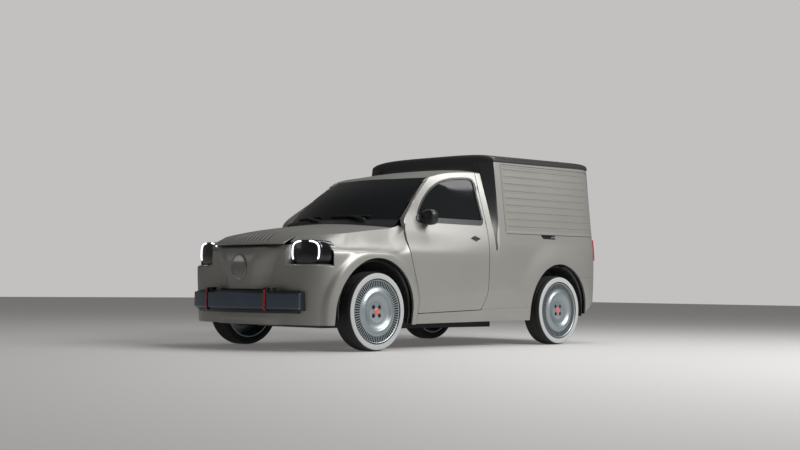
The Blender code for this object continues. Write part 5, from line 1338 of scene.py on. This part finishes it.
def swollen(name, surface, channel, most, *stands_for):
    """A pad from its starting form: remeshed, swollen by pressure without gravity, held to a most movement,
    then pressed in along its channels."""
    points, cells = gridded(surface, 64, 40, close_u=True)
    piece = made(name, points, cells, cloth, "body", *stands_for)
    remesh = piece.modifiers.new("even", "REMESH")
    remesh.mode, remesh.voxel_size = "VOXEL", 0.0125
    graph = bpy.context.evaluated_depsgraph_get()
    piece.data = bpy.data.meshes.new_from_object(piece.evaluated_get(graph))
    piece.modifiers.clear()
    start = spots(piece.data)
    end = start.copy()
    blown = piece.modifiers.new("blown", "CLOTH")
    blown.settings.use_pressure = True
    blown.settings.uniform_pressure_force = 4.0
    blown.settings.effector_weights.gravity = 0.0
    blown.point_cache.frame_start, blown.point_cache.frame_end = 1, 20
    for frame_number in range(1, 21):
        bpy.context.scene.frame_set(frame_number)
    graph = bpy.context.evaluated_depsgraph_get()
    move = spots(piece.evaluated_get(graph).data) - start
    length = np.linalg.norm(move, axis=1)[:, None]
    end = start + move * np.minimum(1.0, most / (length + 1e-9))
    piece.modifiers.clear()
    bpy.context.scene.frame_set(1)
    piece.data.vertices.foreach_set("co", channel(end).reshape(-1))
    piece.data.shade_smooth()
    piece.data.materials.clear()
    piece.data.materials.append(cloth)
    piece.data.update()
    finer = piece.modifiers.new("finer", "SUBSURF")
    finer.levels = finer.render_levels = 1
    return piece


def cushion_channels(points):
    """Two grooves along the cushion's top, and a flat underside at the base's height."""
    across = np.abs(points[:, 0] - seat_place) - 0.125
    points[:, 2] -= 0.010 * np.exp(-((across / 0.011) ** 2)) * ease(0.48, 0.53, points[:, 2])
    points[:, 2] = np.maximum(points[:, 2], 0.420)
    return points


def back_channels(points):
    """Two grooves up the backrest's front."""
    across = np.abs(points[:, 0] - seat_place) - 0.115
    front = ease(-0.02, 0.05, 0.100 + 0.176 * (points[:, 2] - 0.52) - points[:, 1])
    points[:, 1] += 0.010 * np.exp(-((across / 0.011) ** 2)) * front
    return points


def plain(points):
    """No channels."""
    return points


tilt = math.radians(10)
pads = [
    swollen("seat_cushion_left", pad_shape((0.212, 0.222, 0.052), (seat_place, -0.115, 0.486), 0.0),
            cushion_channels, 0.024, "seat_left"),
    swollen("seat_back_left", pad_shape((0.202, 0.040, 0.272), (seat_place, 0.172, 0.790), tilt),
            back_channels, 0.022),
    swollen("seat_head_left", pad_shape((0.100, 0.028, 0.072), (seat_place, 0.212, 1.155), tilt),
            plain, 0.016),
]
for pad in pads:
    mesh = pad.data.copy()
    mesh.vertices.foreach_set("co", (spots(mesh) * (-1, 1, 1)).reshape(-1))
    mesh.flip_normals()
    twin = bpy.data.objects.new(pad.name.replace("left", "right"), mesh)
    bpy.context.scene.collection.objects.link(twin)
    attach(twin, "body")
    if pad is pads[0]:
        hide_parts("seat_right")
    finer = twin.modifiers.new("finer", "SUBSURF")
    finer.levels = finer.render_levels = 1


def base_skin(u, v):
    """The seat's moulded base: a rounded box drawn in towards the floor, by turn and height."""
    turn = 2 * math.pi * u
    c, s = np.cos(turn), np.sin(turn)
    lid = np.clip(v / 0.2, 0, 1) * np.clip((1 - v) / 0.2, 0, 1)
    grow = (0.86 + 0.14 * v) * lid
    x = seat_place + 0.180 * grow * squared(c, 0.4)
    y = -0.110 + 0.190 * grow * squared(s, 0.4)
    return np.stack([x, y, base_foot + (base_top - base_foot) * np.clip((v - 0.2) / 0.6, 0, 1)], axis=-1)


points, cells = gridded(base_skin, 72, 20, close_u=True)
both_sides("seat_base_{}_skin", points, cells, trim, "body")
for word, offset in (("inner", -0.045), ("outer", 0.045)):
    post = [(seat_place + offset, 0.205, 1.02), (seat_place + offset, 0.209, 1.06),
            (seat_place + offset, 0.212, 1.10)]
    points, faces = carried(post, 0.006, 12)
    both_sides(f"head_post_{{}}_{word}", points, faces, casting, "body")

# Solids kept from the CAD model: the floor, axles, drive unit, knuckles, rims, tail lamps, dashboard and
# steering wheel take their finishes here, and so do the solids that a skin replaces.
wheel_paint = painted("wheel_paint", (0.22, 0.26, 0.275), roughness=0.32, grain=0.03, metallic=0.75, coat=0.3,
                      scale=300.0, spread=0.05)
rubber = painted("tyre_rubber", (0.014, 0.014, 0.014), roughness=0.70, grain=0.4, scale=500.0, spread=0.20)
underbody = painted("underbody_coat", (0.016, 0.016, 0.017), roughness=0.75, grain=0.5, scale=220.0,
                    spread=0.25)
looks = {
    "bonnet": body_paint, "cab_frame": body_paint, "front_panel": body_paint, "rear_header": body_paint,
    "fender": body_paint, "door_glass": glass, "door": body_paint, "side": body_paint, "sill": body_paint,
    "hatch": body_paint, "rear_door": body_paint, "rear_bumper": body_paint, "roof": roof_paint,
    "bumper_carrier": moulding, "cowl": moulding, "mirror": moulding, "windscreen": glass,
    "headlamp": lamp_black, "tail_lamp": red_lens, "bumper_bar": steel, "rim": wheel_paint, "tyre": rubber,
    "floor": underbody, "front_subframe": casting, "drive_unit": casting, "rear_axle": casting,
    "knuckle": casting, "seat": cloth, "dashboard": trim, "steering_wheel": trim,
}
for node_name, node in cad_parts.items():
    key = max((word for word in looks if node_name.startswith(word)), key=len)
    for slot in node.material_slots:
        slot.material = looks[key]
